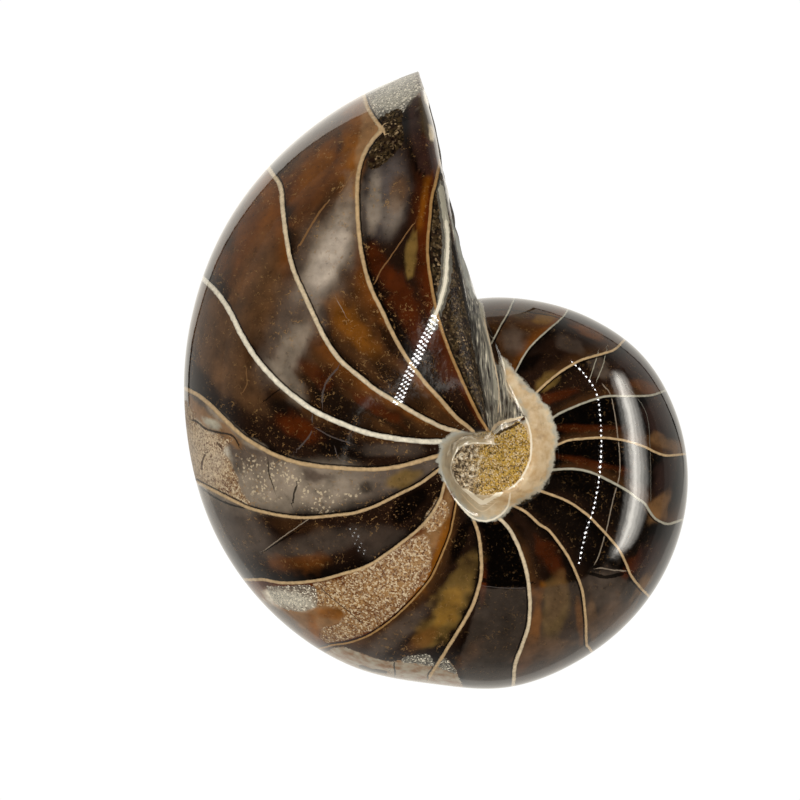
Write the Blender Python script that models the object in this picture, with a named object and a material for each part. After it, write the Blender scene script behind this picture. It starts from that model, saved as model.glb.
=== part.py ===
"""Half of a polished fossil nautilus, cut flat in its plane of coiling.

It is one piece of stone: the flank, the broken mouth wall, the umbilical ring and the plug of
matrix in the umbilicus grew and hardened together, so the whole half is one closed solid.

The frame: the cut face lies in z = 0 with the coiling axis at the origin, the flank is up, and
the tip of the mouth points to +Y. Sizes in the tables are millimetres, angles are degrees.
"""

import math

import bmesh
import bpy
from mathutils import Vector, noise

MM = 0.001

# The winding angle runs clockwise, seen from above, from the foot of the mouth wall.
WINDING_START = 95.0
MOUTH_WINDING = 355.0

# Radius of the venter against the winding angle.
VENTER = (
    (0, 26.5), (20, 27.1), (40, 28.4), (60, 30.1), (80, 31.1), (100, 32.1), (120, 33.0),
    (140, 34.0), (160, 35.1), (180, 36.5), (200, 37.1), (220, 40.0), (240, 42.8), (260, 45.9),
    (280, 49.2), (300, 53.5), (320, 58.1), (340, 61.9), (355, 64.3),
)
# Radius of the umbilical shoulder, where the flank starts, against the winding angle.
SHOULDER = (
    (0, 13.8), (13, 14.1), (25, 14.4), (52, 12.2), (87, 10.9), (125, 9.7), (155, 8.4),
    (185, 9.1), (215, 8.4), (245, 8.1), (275, 8.4), (305, 8.4), (335, 6.2), (370, 4.9),
)
# Radius of the matrix plug against the compass angle, counterclockwise from +X.
PLUG_EDGE = (
    (-40, 5.7), (0, 6.6), (20, 6.8), (45, 7.5), (56, 8.3), (74, 7.0), (88, 4.5), (105, 3.8),
    (120, 3.9), (135, 5.1), (150, 6.2), (180, 6.3), (225, 5.8), (270, 5.0), (320, 5.7),
    (360, 6.6), (380, 6.8),
)

# Half-width of the whorl: a share of the venter's radius on top of a constant.
HALF_WIDTH_BASE = 2.6
HALF_WIDTH_SHARE = 0.41
CREST = 0.3
DIP_START = 0.02
DIP_GROWTH = 0.02
SECTION_POWER = 2.3
SECTION_ROOT = 2.1

# The plug's rough top is a tilted plane with lumps.
PLUG_HEIGHT = 13.6
PLUG_TILT_X = -0.28
PLUG_TILT_Y = 0.07
PLUG_LUMP = 0.45
PLUG_LUMP_SIZE = 1.6

# Winding angle of the mouth's rounded edge and of the wall's foot, from shoulder to venter.
MOUTH_EDGE = (
    (0.0, 350.5), (0.06, 349.0), (0.13, 346.3), (0.2, 345.2), (0.29, 344.8), (0.37, 345.4),
    (0.51, 348.0), (0.6, 350.2), (0.7, 351.9), (0.85, 353.4), (1.0, 354.5),
)
WALL_FOOT = ((0.0, 13.0), (0.18, 10.7), (0.37, 7.0), (0.63, 3.3), (0.84, 1.2), (1.0, 0.4))
PLUG_EDGE_AT_MOUTH = 367.0
PLUG_EDGE_AT_FOOT = 40.5

# The mouth wall, against the distance along +Y: X of its foot and of its steep top.
FOOT_X = (
    (4.0, 5.0), (6.8, 4.3), (10.0, 2.9), (14.1, 1.9), (19.0, 0.5), (23.0, -1.0), (26.4, -2.1),
    (32.7, -4.2), (36.8, -5.4), (39.6, -6.4), (42.4, -7.0), (47.3, -7.8), (52.2, -8.4),
    (57.0, -9.6), (60.5, -10.6), (63.4, -11.65),
)
TOP_X = (
    (4.0, 0.2), (6.8, -0.6), (10.0, -1.1), (14.1, -2.1), (19.0, -3.1), (26.4, -4.4),
    (32.7, -5.5), (42.4, -7.3), (47.3, -8.3), (52.2, -9.1), (57.0, -10.2), (63.4, -11.75),
)
# Height of the wall's foot and of its steep top, against the distance along +Y.
FOOT_HEIGHT = ((4.0, 13.6), (14.0, 13.4), (19.0, 12.6), (23.0, 9.6), (25.5, 4.6), (26.6, 0.0))
TOP_HEIGHT = ((4.0, 19.0), (14.0, 23.0), (24.0, 24.0), (42.0, 22.5), (54.0, 16.5), (62.0, 4.0))
EDGE_DROP = 4.2
EDGE_LEAN = -0.6
LIP_LEAN = 1.6
WALL_LUMP = 0.9
WALL_LUMP_SIZE = 5.0

FLANK_COLUMNS = 96
ROUND_COLUMNS = 4
WALL_COLUMNS = 9
MOUTH_COLUMNS = ROUND_COLUMNS + WALL_COLUMNS
PLUG_ROWS = 4
RING_ROWS = 3
FLANK_ROWS = 15
WELD = 1e-7


def smooth(table, x):
    """A smooth curve through the table's (x, y) pairs, held level past its ends."""
    if x <= table[0][0]:
        return table[0][1]
    if x >= table[-1][0]:
        return table[-1][1]
    last = len(table) - 1
    k = max(i for i in range(last) if table[i][0] <= x)

    def slope(i):
        low, high = max(i - 1, 0), min(i + 1, last)
        return (table[high][1] - table[low][1]) / (table[high][0] - table[low][0])

    step = table[k + 1][0] - table[k][0]
    t = (x - table[k][0]) / step
    rise, fall = t * t * (3 - 2 * t), (1 - t) ** 2 * (1 + 2 * t)
    return (
        fall * table[k][1]
        + rise * table[k + 1][1]
        + step * (t * (1 - t) ** 2 * slope(k) - t * t * (1 - t) * slope(k + 1))
    )


def mix(a, b, t):
    """The value a share t of the way from a to b."""
    return a + (b - a) * t


def ease(t):
    """0 to 1 with level ends."""
    t = min(max(t, 0.0), 1.0)
    return t * t * (3 - 2 * t)


def on_plan(winding, radius, height):
    """A point from its winding angle, radius and height."""
    angle = math.radians(WINDING_START - winding)
    return Vector((radius * math.cos(angle), radius * math.sin(angle), height))


def crest_height(winding):
    """Half-width of the whorl at its widest."""
    return HALF_WIDTH_BASE + HALF_WIDTH_SHARE * smooth(VENTER, winding)


def flank_height(winding, s):
    """Height of the flank, from the shoulder at s = 0 to the venter at s = 1."""
    dip = DIP_START + DIP_GROWTH * winding / MOUTH_WINDING
    if s < CREST:
        return crest_height(winding) * (1 - dip * (1 - s / CREST) ** 2)
    fall = min((s - CREST) / (1 - CREST), 1.0)
    return crest_height(winding) * (1 - fall**SECTION_POWER) ** (1 / SECTION_ROOT)


def flank_point(winding, s):
    """A point of the polished flank."""
    radius = mix(smooth(SHOULDER, winding), smooth(VENTER, winding), s)
    return on_plan(winding, radius, flank_height(winding, s))


def plug_edge_point(winding):
    """A point of the plug's rim."""
    compass = (WINDING_START - winding) % 360
    edge = on_plan(winding, smooth(PLUG_EDGE, compass), 0)
    edge.z = plug_height(edge)
    return edge


def plug_height(point):
    """Height of the plug's rough top, lumps included."""
    lump = PLUG_LUMP * noise.noise(Vector((point.x, point.y, 0)) / PLUG_LUMP_SIZE)
    return PLUG_HEIGHT + PLUG_TILT_X * point.x + PLUG_TILT_Y * point.y + lump


def ring_point(plug_winding, flank_winding, q):
    """A point of the umbilical ring, from the plug's rim at q = 0 to the shoulder at q = 1."""
    inner, outer = plug_edge_point(plug_winding), flank_point(flank_winding, 0)
    winding = mix(plug_winding, flank_winding, ease(q))
    radius = mix(inner.xy.length, outer.xy.length, q)
    return on_plan(winding, radius, mix(inner.z, outer.z, math.sin(q * math.pi / 2)))


def whorl_point(t, row):
    """A point of the whorl, t = 0 at the wall's foot and t = 1 at the mouth's edge."""
    kind, share = row
    plug_winding = mix(PLUG_EDGE_AT_FOOT, PLUG_EDGE_AT_MOUTH, t)
    if kind == "plug":
        return plug_point(plug_winding, share)
    if kind == "ring":
        return ring_point(plug_winding, mix(WALL_FOOT[0][1], MOUTH_EDGE[0][1], t), share)
    winding = mix(smooth(WALL_FOOT, share), smooth(MOUTH_EDGE, share), t)
    return flank_point(winding, share)


def plug_point(winding, share):
    """A point of the plug, from its middle at share = 0 to its rim."""
    point = plug_edge_point(winding) * share
    point.z = plug_height(point)
    return point


def wall_x(point):
    """X of the mouth wall at a point's Y and Z: steep at the top, spread at the foot."""
    foot = smooth(FOOT_HEIGHT, point.y)
    climb = ease((point.z - foot) / max(smooth(TOP_HEIGHT, point.y) - foot, 1.0))
    return mix(smooth(FOOT_X, point.y), smooth(TOP_X, point.y), climb)


def mouth_point(column, row):
    """A point of the rounded mouth edge and of the wall below it, back to the wall's foot."""
    kind, share = row
    along = column / MOUTH_COLUMNS
    plug_winding = mix(PLUG_EDGE_AT_MOUTH, PLUG_EDGE_AT_FOOT + 360, along * along)
    if column == MOUTH_COLUMNS:
        return whorl_point(0, row)
    if kind == "plug":
        return plug_point(plug_winding, share)
    if kind == "ring":
        inner, outer = plug_edge_point(plug_winding), mouth_point(column, ("flank", 0))
        point = inner.lerp(outer, share)
        point.z = mix(inner.z, outer.z, math.sin(share * math.pi / 2))
        return point
    edge, foot = whorl_point(1, row), whorl_point(0, row)
    fade = min(1.0, edge.z / EDGE_DROP / 2)
    lean = mix(LIP_LEAN, EDGE_LEAN, ease(share / CREST))
    top = Vector((0, edge.y + lean * fade, edge.z - EDGE_DROP * fade))
    top.x = wall_x(top)
    if column <= ROUND_COLUMNS:
        t = column / ROUND_COLUMNS
        corner = Vector((mix(edge.x, top.x, 0.8), mix(edge.y, top.y, 0.5), edge.z - 0.35 * fade))
        return edge * (1 - t) ** 2 + corner * 2 * t * (1 - t) + top * t * t
    down = (column - ROUND_COLUMNS) / WALL_COLUMNS
    point = top.lerp(foot, down)
    lump = WALL_LUMP * noise.noise(Vector((7, point.y, point.z)) / WALL_LUMP_SIZE)
    point.x = wall_x(point) + lump * 4 * down * (1 - down)
    return point


def rows():
    """The rows of a column, from the axis to the venter."""
    plug = [("plug", i / PLUG_ROWS) for i in range(PLUG_ROWS)]
    ring = [("ring", i / RING_ROWS) for i in range(RING_ROWS)]
    flank = [("flank", math.sin(i / FLANK_ROWS * math.pi / 2)) for i in range(FLANK_ROWS + 1)]
    return plug + ring + flank


def build_half():
    """One grid bent round the axis, welded along its seam and closed by the flat cut face."""
    row_list = rows()
    columns = FLANK_COLUMNS + MOUTH_COLUMNS
    mesh = bpy.data.meshes.new("nautilus_half")
    bm = bmesh.new()
    bmesh.ops.create_grid(bm, x_segments=columns, y_segments=len(row_list) - 1, size=0.5)
    for vert in bm.verts:
        column = round((vert.co.x + 0.5) * columns)
        row = row_list[round((vert.co.y + 0.5) * (len(row_list) - 1))]
        if column <= FLANK_COLUMNS:
            point = whorl_point(column / FLANK_COLUMNS, row)
        else:
            point = mouth_point(column - FLANK_COLUMNS, row)
        vert.co = point * MM
    bmesh.ops.remove_doubles(bm, verts=bm.verts, dist=WELD)
    rim = [edge for edge in bm.edges if edge.is_boundary]
    bmesh.ops.edgeloop_fill(bm, edges=rim)
    bmesh.ops.recalc_face_normals(bm, faces=bm.faces)
    if bm.calc_volume(signed=True) < 0:
        bmesh.ops.reverse_faces(bm, faces=bm.faces)
    bm.to_mesh(mesh)
    bm.free()
    mesh.shade_smooth()
    mesh.set_sharp_from_angle(angle=math.radians(40))
    half = bpy.data.objects.new("nautilus_half", mesh)
    bpy.context.scene.collection.objects.link(half)
    return half


def polished_stone():
    """Dark brown calcite under a glossy polish."""
    material = bpy.data.materials.new("polished_calcite")
    material.use_nodes = True
    shader = material.node_tree.nodes["Principled BSDF"]
    shader.inputs["Base Color"].default_value = (0.10, 0.045, 0.02, 1)
    shader.inputs["Roughness"].default_value = 0.15
    shader.inputs["Metallic"].default_value = 0.0
    return material


def main():
    for old in list(bpy.data.objects):
        bpy.data.objects.remove(old)
    half = build_half()
    half.data.materials.append(polished_stone())


main()
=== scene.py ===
"""The finish of a polished fossil nautilus half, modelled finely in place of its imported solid.

The half lies on its flat cut face with the coiling axis at the origin, its flank up and the tip of
its mouth towards +Y. Lengths are millimetres and angles degrees until a mesh is written, in metres.
Places named as pixels are on the 800 by 800 picture that the camera takes from straight above.
"""

import logging
import math
from collections.abc import Callable
from dataclasses import dataclass, field
from enum import Enum
from typing import Any

import bmesh
import bpy
import numpy as np
from mathutils import Matrix, Vector, noise
from mathutils.bvhtree import BVHTree


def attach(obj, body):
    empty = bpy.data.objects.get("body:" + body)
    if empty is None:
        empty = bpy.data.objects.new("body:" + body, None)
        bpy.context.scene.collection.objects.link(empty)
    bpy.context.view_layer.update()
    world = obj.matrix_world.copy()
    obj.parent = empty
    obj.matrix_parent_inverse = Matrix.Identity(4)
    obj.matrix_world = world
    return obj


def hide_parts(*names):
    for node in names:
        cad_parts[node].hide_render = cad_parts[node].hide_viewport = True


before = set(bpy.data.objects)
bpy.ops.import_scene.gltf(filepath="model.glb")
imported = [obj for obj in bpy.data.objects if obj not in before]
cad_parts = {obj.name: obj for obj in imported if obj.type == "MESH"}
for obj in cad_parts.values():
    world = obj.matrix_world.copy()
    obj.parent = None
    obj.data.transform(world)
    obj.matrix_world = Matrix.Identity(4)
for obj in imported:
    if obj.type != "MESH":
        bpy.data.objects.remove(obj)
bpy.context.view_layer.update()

MM = 0.001
NODE = "nautilus_half"
BODY = "root"

log = logging.getLogger("nautilus")

Pixel = tuple[float, float]
Table = tuple[tuple[float, float], ...]
Colour = tuple[float, float, float, float]
Placer = Callable[[int, int], tuple[Any, ...]]


def smooth(table: Table, x: float) -> float:
    """Reads a smooth curve through a table's pairs, held level past its ends.

    Args:
        table: Pairs of x and y, with x rising.
        x: Where to read the curve.

    Returns:
        The curve's y at x.
    """
    if x <= table[0][0]:
        return table[0][1]
    if x >= table[-1][0]:
        return table[-1][1]
    last = len(table) - 1
    k = 0
    while table[k + 1][0] <= x:
        k += 1

    def slope(i: int) -> float:
        """The curve's slope at the table's pair i."""
        low, high = max(i - 1, 0), min(i + 1, last)
        return (table[high][1] - table[low][1]) / (table[high][0] - table[low][0])

    step = table[k + 1][0] - table[k][0]
    t = (x - table[k][0]) / step
    rise, fall = t * t * (3 - 2 * t), (1 - t) ** 2 * (1 + 2 * t)
    bend = t * (1 - t) ** 2 * slope(k) - t * t * (1 - t) * slope(k + 1)
    return fall * table[k][1] + rise * table[k + 1][1] + step * bend


def mix(a: Any, b: Any, t: Any) -> Any:
    """The value a share t of the way from a to b."""
    return a + (b - a) * t


def ease(t: Any) -> Any:
    """0 to 1 with level ends, for a number or an array."""
    t = np.clip(t, 0.0, 1.0)
    return t * t * (3 - 2 * t)


def as_object(name: str, data: Any) -> bpy.types.Object:
    """Puts a mesh, a lamp or a camera in the scene.

    Args:
        name: The object's name.
        data: Its data, or a finished bmesh that becomes its mesh.

    Returns:
        The object.
    """
    if isinstance(data, bmesh.types.BMesh):
        bm, data = data, bpy.data.meshes.new(name)
        bm.to_mesh(data)
        bm.free()
    made = bpy.data.objects.new(name, data)
    bpy.context.scene.collection.objects.link(made)
    return made


def bent_grid(count: int, lanes: int, names: tuple[str, ...], place: Placer) -> bmesh.types.BMesh:
    """Bends a flat grid into shape.

    Args:
        count: How many vertices it has along.
        lanes: How many it has across.
        names: The numbers that each vertex carries as attributes.
        place: Takes a vertex's two counts and gives its point in millimetres and its numbers.

    Returns:
        The bent grid.
    """
    bm = bmesh.new()
    layers = [bm.verts.layers.float.new(name) for name in names]
    bmesh.ops.create_grid(bm, x_segments=count - 1, y_segments=lanes - 1, size=0.5)
    for vert in bm.verts:
        along = round((vert.co.x + 0.5) * (count - 1))
        across = round((vert.co.y + 0.5) * (lanes - 1))
        point, *values = place(along, across)
        vert.co = point * MM
        for layer, value in zip(layers, values):
            vert[layer] = value
    return bm


def linear(code: str) -> Colour:
    """Turns a colour as seen on screen into the linear one that a shader takes.

    Args:
        code: Six hexadecimal digits, such as "8f5a22".

    Returns:
        Red, green, blue and an alpha of 1.
    """
    channels = [int(code[i : i + 2], 16) / 255 for i in (0, 2, 4)]
    red, green, blue = (c / 12.92 if c <= 0.04045 else ((c + 0.055) / 1.055) ** 2.4 for c in channels)
    return red, green, blue, 1.0


class Tint(Enum):
    """The stone's colours and those of its painted sheen, as seen on screen."""

    BLACK = "040201"
    COAL = "0e0805"
    UMBER = "20120a"
    PLUM = "301e18"
    BROWN = "402712"
    BARK = "5c3f26"
    DUSK = "56493e"
    RUST = "4c1e04"
    CHESTNUT = "653812"
    AMBER = "804a0c"
    HONEY = "8c6424"
    OLIVE = "42331c"
    MOSS = "74592a"
    SLATE = "544b46"
    MIST = "9a8a76"
    PEARL_SHEEN = "c4b4a2"
    SAND = "a8804e"
    CLAY = "86603a"
    CREAM = "dcc6a2"
    IVORY = "f2e6cc"
    STONE = "b0a892"
    HAZE = "a8a89c"
    DAYLIGHT = "fffaf0"
    ASH = "6a655a"
    BEIGE = "c6a67a"
    STRAW = "bd9846"
    OCHRE = "94702c"

    @property
    def rgb(self) -> np.ndarray:
        """The linear colour as three numbers."""
        return np.array(linear(self.value)[:3])

    @property
    def rgba(self) -> Colour:
        """The linear colour with its alpha."""
        return linear(self.value)


@dataclass(frozen=True)
class View:
    """Where a point of the half lands on the picture taken from straight above."""

    height: float = 500.0
    mm_per_pixel: float = 0.16207
    axis_pixel: Pixel = (490.0, 462.0)
    middle_pixel: Pixel = (400.0, 400.0)

    @property
    def centre(self) -> tuple[float, float]:
        """The spot below the camera, from the coiling axis."""
        right = self.middle_pixel[0] - self.axis_pixel[0]
        down = self.middle_pixel[1] - self.axis_pixel[1]
        return right * self.mm_per_pixel, -down * self.mm_per_pixel

    @property
    def field_width(self) -> float:
        """How much of the cut face's plane the picture's width takes in."""
        return 2 * self.middle_pixel[0] * self.mm_per_pixel

    def pixels(self, points: np.ndarray) -> np.ndarray:
        """Projects points onto the picture.

        Args:
            points: One row of X, Y and Z for each point.

        Returns:
            One row of picture X and Y for each point.
        """
        grow = self.height / (self.height - points[:, 2]) / self.mm_per_pixel
        right = self.middle_pixel[0] + (points[:, 0] - self.centre[0]) * grow
        down = self.middle_pixel[1] - (points[:, 1] - self.centre[1]) * grow
        return np.stack((right, down), axis=1)

    def plan(self, pixel: Pixel, z: float) -> tuple[float, float]:
        """Finds the point at a height that is seen at a pixel.

        Args:
            pixel: A place on the picture.
            z: The point's height.

        Returns:
            The point's X and Y.
        """
        shrink = (1 - z / self.height) * self.mm_per_pixel
        x = self.centre[0] + (pixel[0] - self.middle_pixel[0]) * shrink
        y = self.centre[1] - (pixel[1] - self.middle_pixel[1]) * shrink
        return x, y


class Zone(Enum):
    """The three zones of a column, from the coiling axis outwards."""

    PLUG = 0
    RING = 1
    FLANK = 2


@dataclass
class HalfForm:
    """The half's form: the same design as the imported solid, at a finer pitch, with the plug's grains."""

    winding_start: float = 95.0
    mouth_winding: float = 355.0
    venter: Table = (
        (0, 26.5), (20, 27.1), (40, 28.4), (60, 30.1), (80, 31.1), (100, 32.1), (120, 33.0),
        (140, 34.0), (160, 35.1), (180, 36.5), (200, 37.1), (220, 40.0), (240, 42.8), (260, 45.9),
        (280, 49.2), (300, 53.5), (320, 58.1), (340, 61.9), (355, 64.3),
    )
    shoulder: Table = (
        (0, 13.8), (13, 14.1), (25, 14.4), (52, 12.2), (87, 10.9), (125, 9.7), (155, 8.4),
        (185, 9.1), (215, 8.4), (245, 8.1), (275, 8.4), (305, 8.4), (335, 6.2), (370, 4.9),
    )
    plug_edge: Table = (
        (-40, 5.7), (0, 6.6), (20, 6.8), (45, 7.5), (56, 8.3), (74, 7.0), (88, 4.5), (105, 3.8),
        (120, 3.9), (135, 5.1), (150, 6.2), (180, 6.3), (225, 5.8), (270, 5.0), (320, 5.7),
        (360, 6.6), (380, 6.8),
    )
    half_width_base: float = 2.6
    half_width_share: float = 0.41
    crest: float = 0.3
    dip_start: float = 0.02
    dip_growth: float = 0.02
    section_power: float = 2.3
    section_root: float = 2.1
    plug_level: float = 13.6
    plug_tilt_x: float = -0.28
    plug_tilt_y: float = 0.07
    plug_lump: float = 0.45
    plug_lump_size: float = 1.6
    plug_grain: float = 0.34
    plug_grain_size: float = 0.62
    plug_grain_middle: float = 0.55
    plug_grain_fade: float = 4.0
    mouth_edge: Table = (
        (0.0, 350.5), (0.06, 349.0), (0.13, 346.3), (0.2, 345.2), (0.29, 344.8), (0.37, 345.4),
        (0.51, 348.0), (0.6, 350.2), (0.7, 351.9), (0.85, 353.4), (1.0, 354.5),
    )
    wall_foot: Table = ((0.0, 13.0), (0.18, 10.7), (0.37, 7.0), (0.63, 3.3), (0.84, 1.2), (1.0, 0.4))
    plug_edge_at_mouth: float = 367.0
    plug_edge_at_foot: float = 40.5
    foot_x: Table = (
        (4.0, 5.0), (6.8, 4.3), (10.0, 2.9), (14.1, 1.9), (19.0, 0.5), (23.0, -1.0), (26.4, -2.1),
        (32.7, -4.2), (36.8, -5.4), (39.6, -6.4), (42.4, -7.0), (47.3, -7.8), (52.2, -8.4),
        (57.0, -9.6), (60.5, -10.6), (63.4, -11.65),
    )
    top_x: Table = (
        (4.0, 0.2), (6.8, -0.6), (10.0, -1.1), (14.1, -2.1), (19.0, -3.1), (26.4, -4.4),
        (32.7, -5.5), (42.4, -7.3), (47.3, -8.3), (52.2, -9.1), (57.0, -10.2), (63.4, -11.75),
    )
    foot_height: Table = (
        (4.0, 13.6), (14.0, 13.4), (19.0, 12.6), (23.0, 9.6), (25.5, 4.6), (26.6, 0.0),
    )
    top_height: Table = (
        (4.0, 19.0), (14.0, 23.0), (24.0, 24.0), (42.0, 22.5), (54.0, 16.5), (62.0, 4.0),
    )
    edge_drop: float = 4.2
    edge_lean: float = -0.6
    lip_lean: float = 1.6
    corner_drop: float = 0.35
    corner_reach: float = 0.8
    wall_lump: float = 0.9
    wall_lump_size: float = 5.0
    wall_lump_x: float = 7.0
    round_share: float = 4 / 13
    flank_columns: int = 560
    round_columns: int = 20
    wall_columns: int = 40
    plug_rows: int = 26
    ring_rows: int = 16
    flank_rows: int = 104
    weld: float = 0.0001

    def on_plan(self, winding: float, radius: float, height: float) -> Vector:
        """A point from its winding angle, radius and height."""
        angle = math.radians(self.winding_start - winding)
        return Vector((radius * math.cos(angle), radius * math.sin(angle), height))

    def flank_height(self, winding: float, s: float) -> float:
        """Reads the flank's height.

        Args:
            winding: The winding angle.
            s: 0 at the umbilical shoulder, 1 at the venter.

        Returns:
            The height above the cut face.
        """
        crest = self.half_width_base + self.half_width_share * smooth(self.venter, winding)
        dip = self.dip_start + self.dip_growth * winding / self.mouth_winding
        if s < self.crest:
            return crest * (1 - dip * (1 - s / self.crest) ** 2)
        fall = min((s - self.crest) / (1 - self.crest), 1.0)
        return crest * (1 - fall**self.section_power) ** (1 / self.section_root)

    def flank_point(self, winding: float, s: float) -> Vector:
        """A point of the polished flank."""
        radius = mix(smooth(self.shoulder, winding), smooth(self.venter, winding), s)
        return self.on_plan(winding, radius, self.flank_height(winding, s))

    def plug_height(self, point: Vector, grains: float) -> float:
        """Reads the height of the plug's rough top.

        Args:
            point: A place over the plug.
            grains: 1 to stand the grains out in full, 0 for the lumps alone.

        Returns:
            The height above the cut face.
        """
        spot = Vector((point.x, point.y, 0))
        lump = self.plug_lump * noise.noise(spot / self.plug_lump_size)
        level = self.plug_level + self.plug_tilt_x * point.x + self.plug_tilt_y * point.y + lump
        if grains <= 0:
            return level
        near = noise.voronoi(spot / self.plug_grain_size)[0][0]
        return level + grains * self.plug_grain * (self.plug_grain_middle - near)

    def plug_edge_point(self, winding: float) -> Vector:
        """Finds a point of the plug's rim.

        Args:
            winding: The winding angle.

        Returns:
            The point.
        """
        compass = (self.winding_start - winding) % 360
        edge = self.on_plan(winding, smooth(self.plug_edge, compass), 0)
        edge.z = self.plug_height(edge, 0)
        return edge

    def plug_point(self, winding: float, share: float) -> Vector:
        """Finds a point of the plug.

        Args:
            winding: The winding angle.
            share: 0 at its middle, 1 at its rim.

        Returns:
            The point.
        """
        point = self.plug_edge_point(winding) * share
        point.z = self.plug_height(point, min(1.0, self.plug_grain_fade * (1 - share)))
        return point

    def ring_point(self, plug_winding: float, flank_winding: float, q: float) -> Vector:
        """Finds a point of the umbilical ring.

        Args:
            plug_winding: The winding angle at the plug's rim.
            flank_winding: The winding angle at the shoulder.
            q: 0 at the plug's rim, 1 at the shoulder.

        Returns:
            The point.
        """
        inner, outer = self.plug_edge_point(plug_winding), self.flank_point(flank_winding, 0)
        winding = mix(plug_winding, flank_winding, ease(q))
        radius = mix(inner.xy.length, outer.xy.length, q)
        return self.on_plan(winding, radius, mix(inner.z, outer.z, math.sin(q * math.pi / 2)))

    def whorl_point(self, t: float, zone: Zone, share: float) -> Vector:
        """Finds a point of the whorl.

        Args:
            t: 0 at the mouth wall's foot, 1 at the mouth's edge.
            zone: The zone of the point's row.
            share: How far through its zone the row lies.

        Returns:
            The point.
        """
        plug_winding = mix(self.plug_edge_at_foot, self.plug_edge_at_mouth, t)
        if zone is Zone.PLUG:
            return self.plug_point(plug_winding, share)
        if zone is Zone.RING:
            flank_winding = mix(self.wall_foot[0][1], self.mouth_edge[0][1], t)
            return self.ring_point(plug_winding, flank_winding, share)
        return self.flank_point(self.whorl_winding(t, share), share)

    def whorl_winding(self, t: float, share: float) -> float:
        """The winding angle of a flank point that lies t of the way from the wall's foot."""
        return mix(smooth(self.wall_foot, share), smooth(self.mouth_edge, share), t)

    def wall_x(self, point: Vector) -> float:
        """Finds the mouth wall, which is steep at the top and spread at the foot.

        Args:
            point: A point whose Y and Z are used.

        Returns:
            The wall's X there.
        """
        foot = smooth(self.foot_height, point.y)
        climb = float(ease((point.z - foot) / max(smooth(self.top_height, point.y) - foot, 1.0)))
        return mix(smooth(self.foot_x, point.y), smooth(self.top_x, point.y), climb)

    def mouth_point(self, along: float, zone: Zone, share: float) -> Vector:
        """Finds a point of the rounded mouth edge and of the wall below it.

        Args:
            along: 0 at the mouth's edge, 1 at the wall's foot.
            zone: The zone of the row.
            share: How far through its zone the row lies.

        Returns:
            The point.
        """
        turn = self.plug_edge_at_foot + 360
        plug_winding = mix(self.plug_edge_at_mouth, turn, along * along)
        if along >= 1:
            return self.whorl_point(0, zone, share)
        if zone is Zone.PLUG:
            return self.plug_point(plug_winding, share)
        if zone is Zone.RING:
            inner = self.plug_edge_point(plug_winding)
            outer = self.mouth_point(along, Zone.FLANK, 0)
            point = inner.lerp(outer, share)
            point.z = mix(inner.z, outer.z, math.sin(share * math.pi / 2))
            return point
        edge, foot = self.whorl_point(1, zone, share), self.whorl_point(0, zone, share)
        fade = min(1.0, edge.z / self.edge_drop / 2)
        lean = mix(self.lip_lean, self.edge_lean, float(ease(share / self.crest)))
        top = Vector((0, edge.y + lean * fade, edge.z - self.edge_drop * fade))
        top.x = self.wall_x(top)
        if along <= self.round_share:
            t = along / self.round_share
            corner_x, corner_y = mix(edge.x, top.x, self.corner_reach), mix(edge.y, top.y, 0.5)
            corner = Vector((corner_x, corner_y, edge.z - self.corner_drop * fade))
            return edge * (1 - t) ** 2 + corner * 2 * t * (1 - t) + top * t * t
        down = (along - self.round_share) / (1 - self.round_share)
        point = top.lerp(foot, down)
        spot = Vector((self.wall_lump_x, point.y, point.z)) / self.wall_lump_size
        lump = self.wall_lump * noise.noise(spot)
        point.x = self.wall_x(point) + lump * 4 * down * (1 - down)
        return point

    def rows(self) -> list[tuple[Zone, float]]:
        """Lists the rows of a column.

        Returns:
            Each row's zone and its share of it.
        """
        plug = [(Zone.PLUG, i / self.plug_rows) for i in range(self.plug_rows)]
        ring = [(Zone.RING, i / self.ring_rows) for i in range(self.ring_rows)]
        quarter = math.pi / 2 / self.flank_rows
        flank = [(Zone.FLANK, math.sin(i * quarter)) for i in range(self.flank_rows + 1)]
        return plug + ring + flank

    def place(self, column: int, zone: Zone, share: float) -> tuple[Vector, float, float, int]:
        """Places one vertex of the bent grid.

        Args:
            column: The vertex's column, counted round the axis from the wall's foot.
            zone: The zone of its row.
            share: How far through its zone the row lies.

        Returns:
            The point, its winding angle, its share and its zone's number.
        """
        s = share if zone is Zone.FLANK else 0.0
        step = column - self.flank_columns
        if step <= 0:
            t = column / self.flank_columns
            return self.whorl_point(t, zone, share), self.whorl_winding(t, s), share, zone.value
        along = self.round_share * step / self.round_columns
        if step > self.round_columns:
            along = mix(self.round_share, 1.0, (step - self.round_columns) / self.wall_columns)
        winding = self.whorl_winding(1 if along < 0.5 else 0, s)
        return self.mouth_point(along, zone, share), winding, share, zone.value

    def build(self, name: str) -> bpy.types.Object:
        """Bends a grid round the axis, welds its seam and closes it with the flat cut face.

        Args:
            name: The object's name.

        Returns:
            The object, whose vertices carry their winding, share and zone as attributes.
        """
        rows = self.rows()
        count = self.flank_columns + self.round_columns + self.wall_columns + 1
        names = ("winding", "share", "zone")
        bm = bent_grid(count, len(rows), names, lambda column, row: self.place(column, *rows[row]))
        bmesh.ops.remove_doubles(bm, verts=bm.verts, dist=self.weld * MM)
        rim = [edge for edge in bm.edges if edge.is_boundary]
        for edge in rim:
            edge.smooth = False
        for face in bmesh.ops.edgeloop_fill(bm, edges=rim)["faces"]:
            face.material_index = 1
        bmesh.ops.recalc_face_normals(bm, faces=bm.faces)
        if bm.calc_volume(signed=True) < 0:
            bmesh.ops.reverse_faces(bm, faces=bm.faces)
        for face in bm.faces:
            face.smooth = face.material_index == 0
        return as_object(name, bm)


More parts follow.
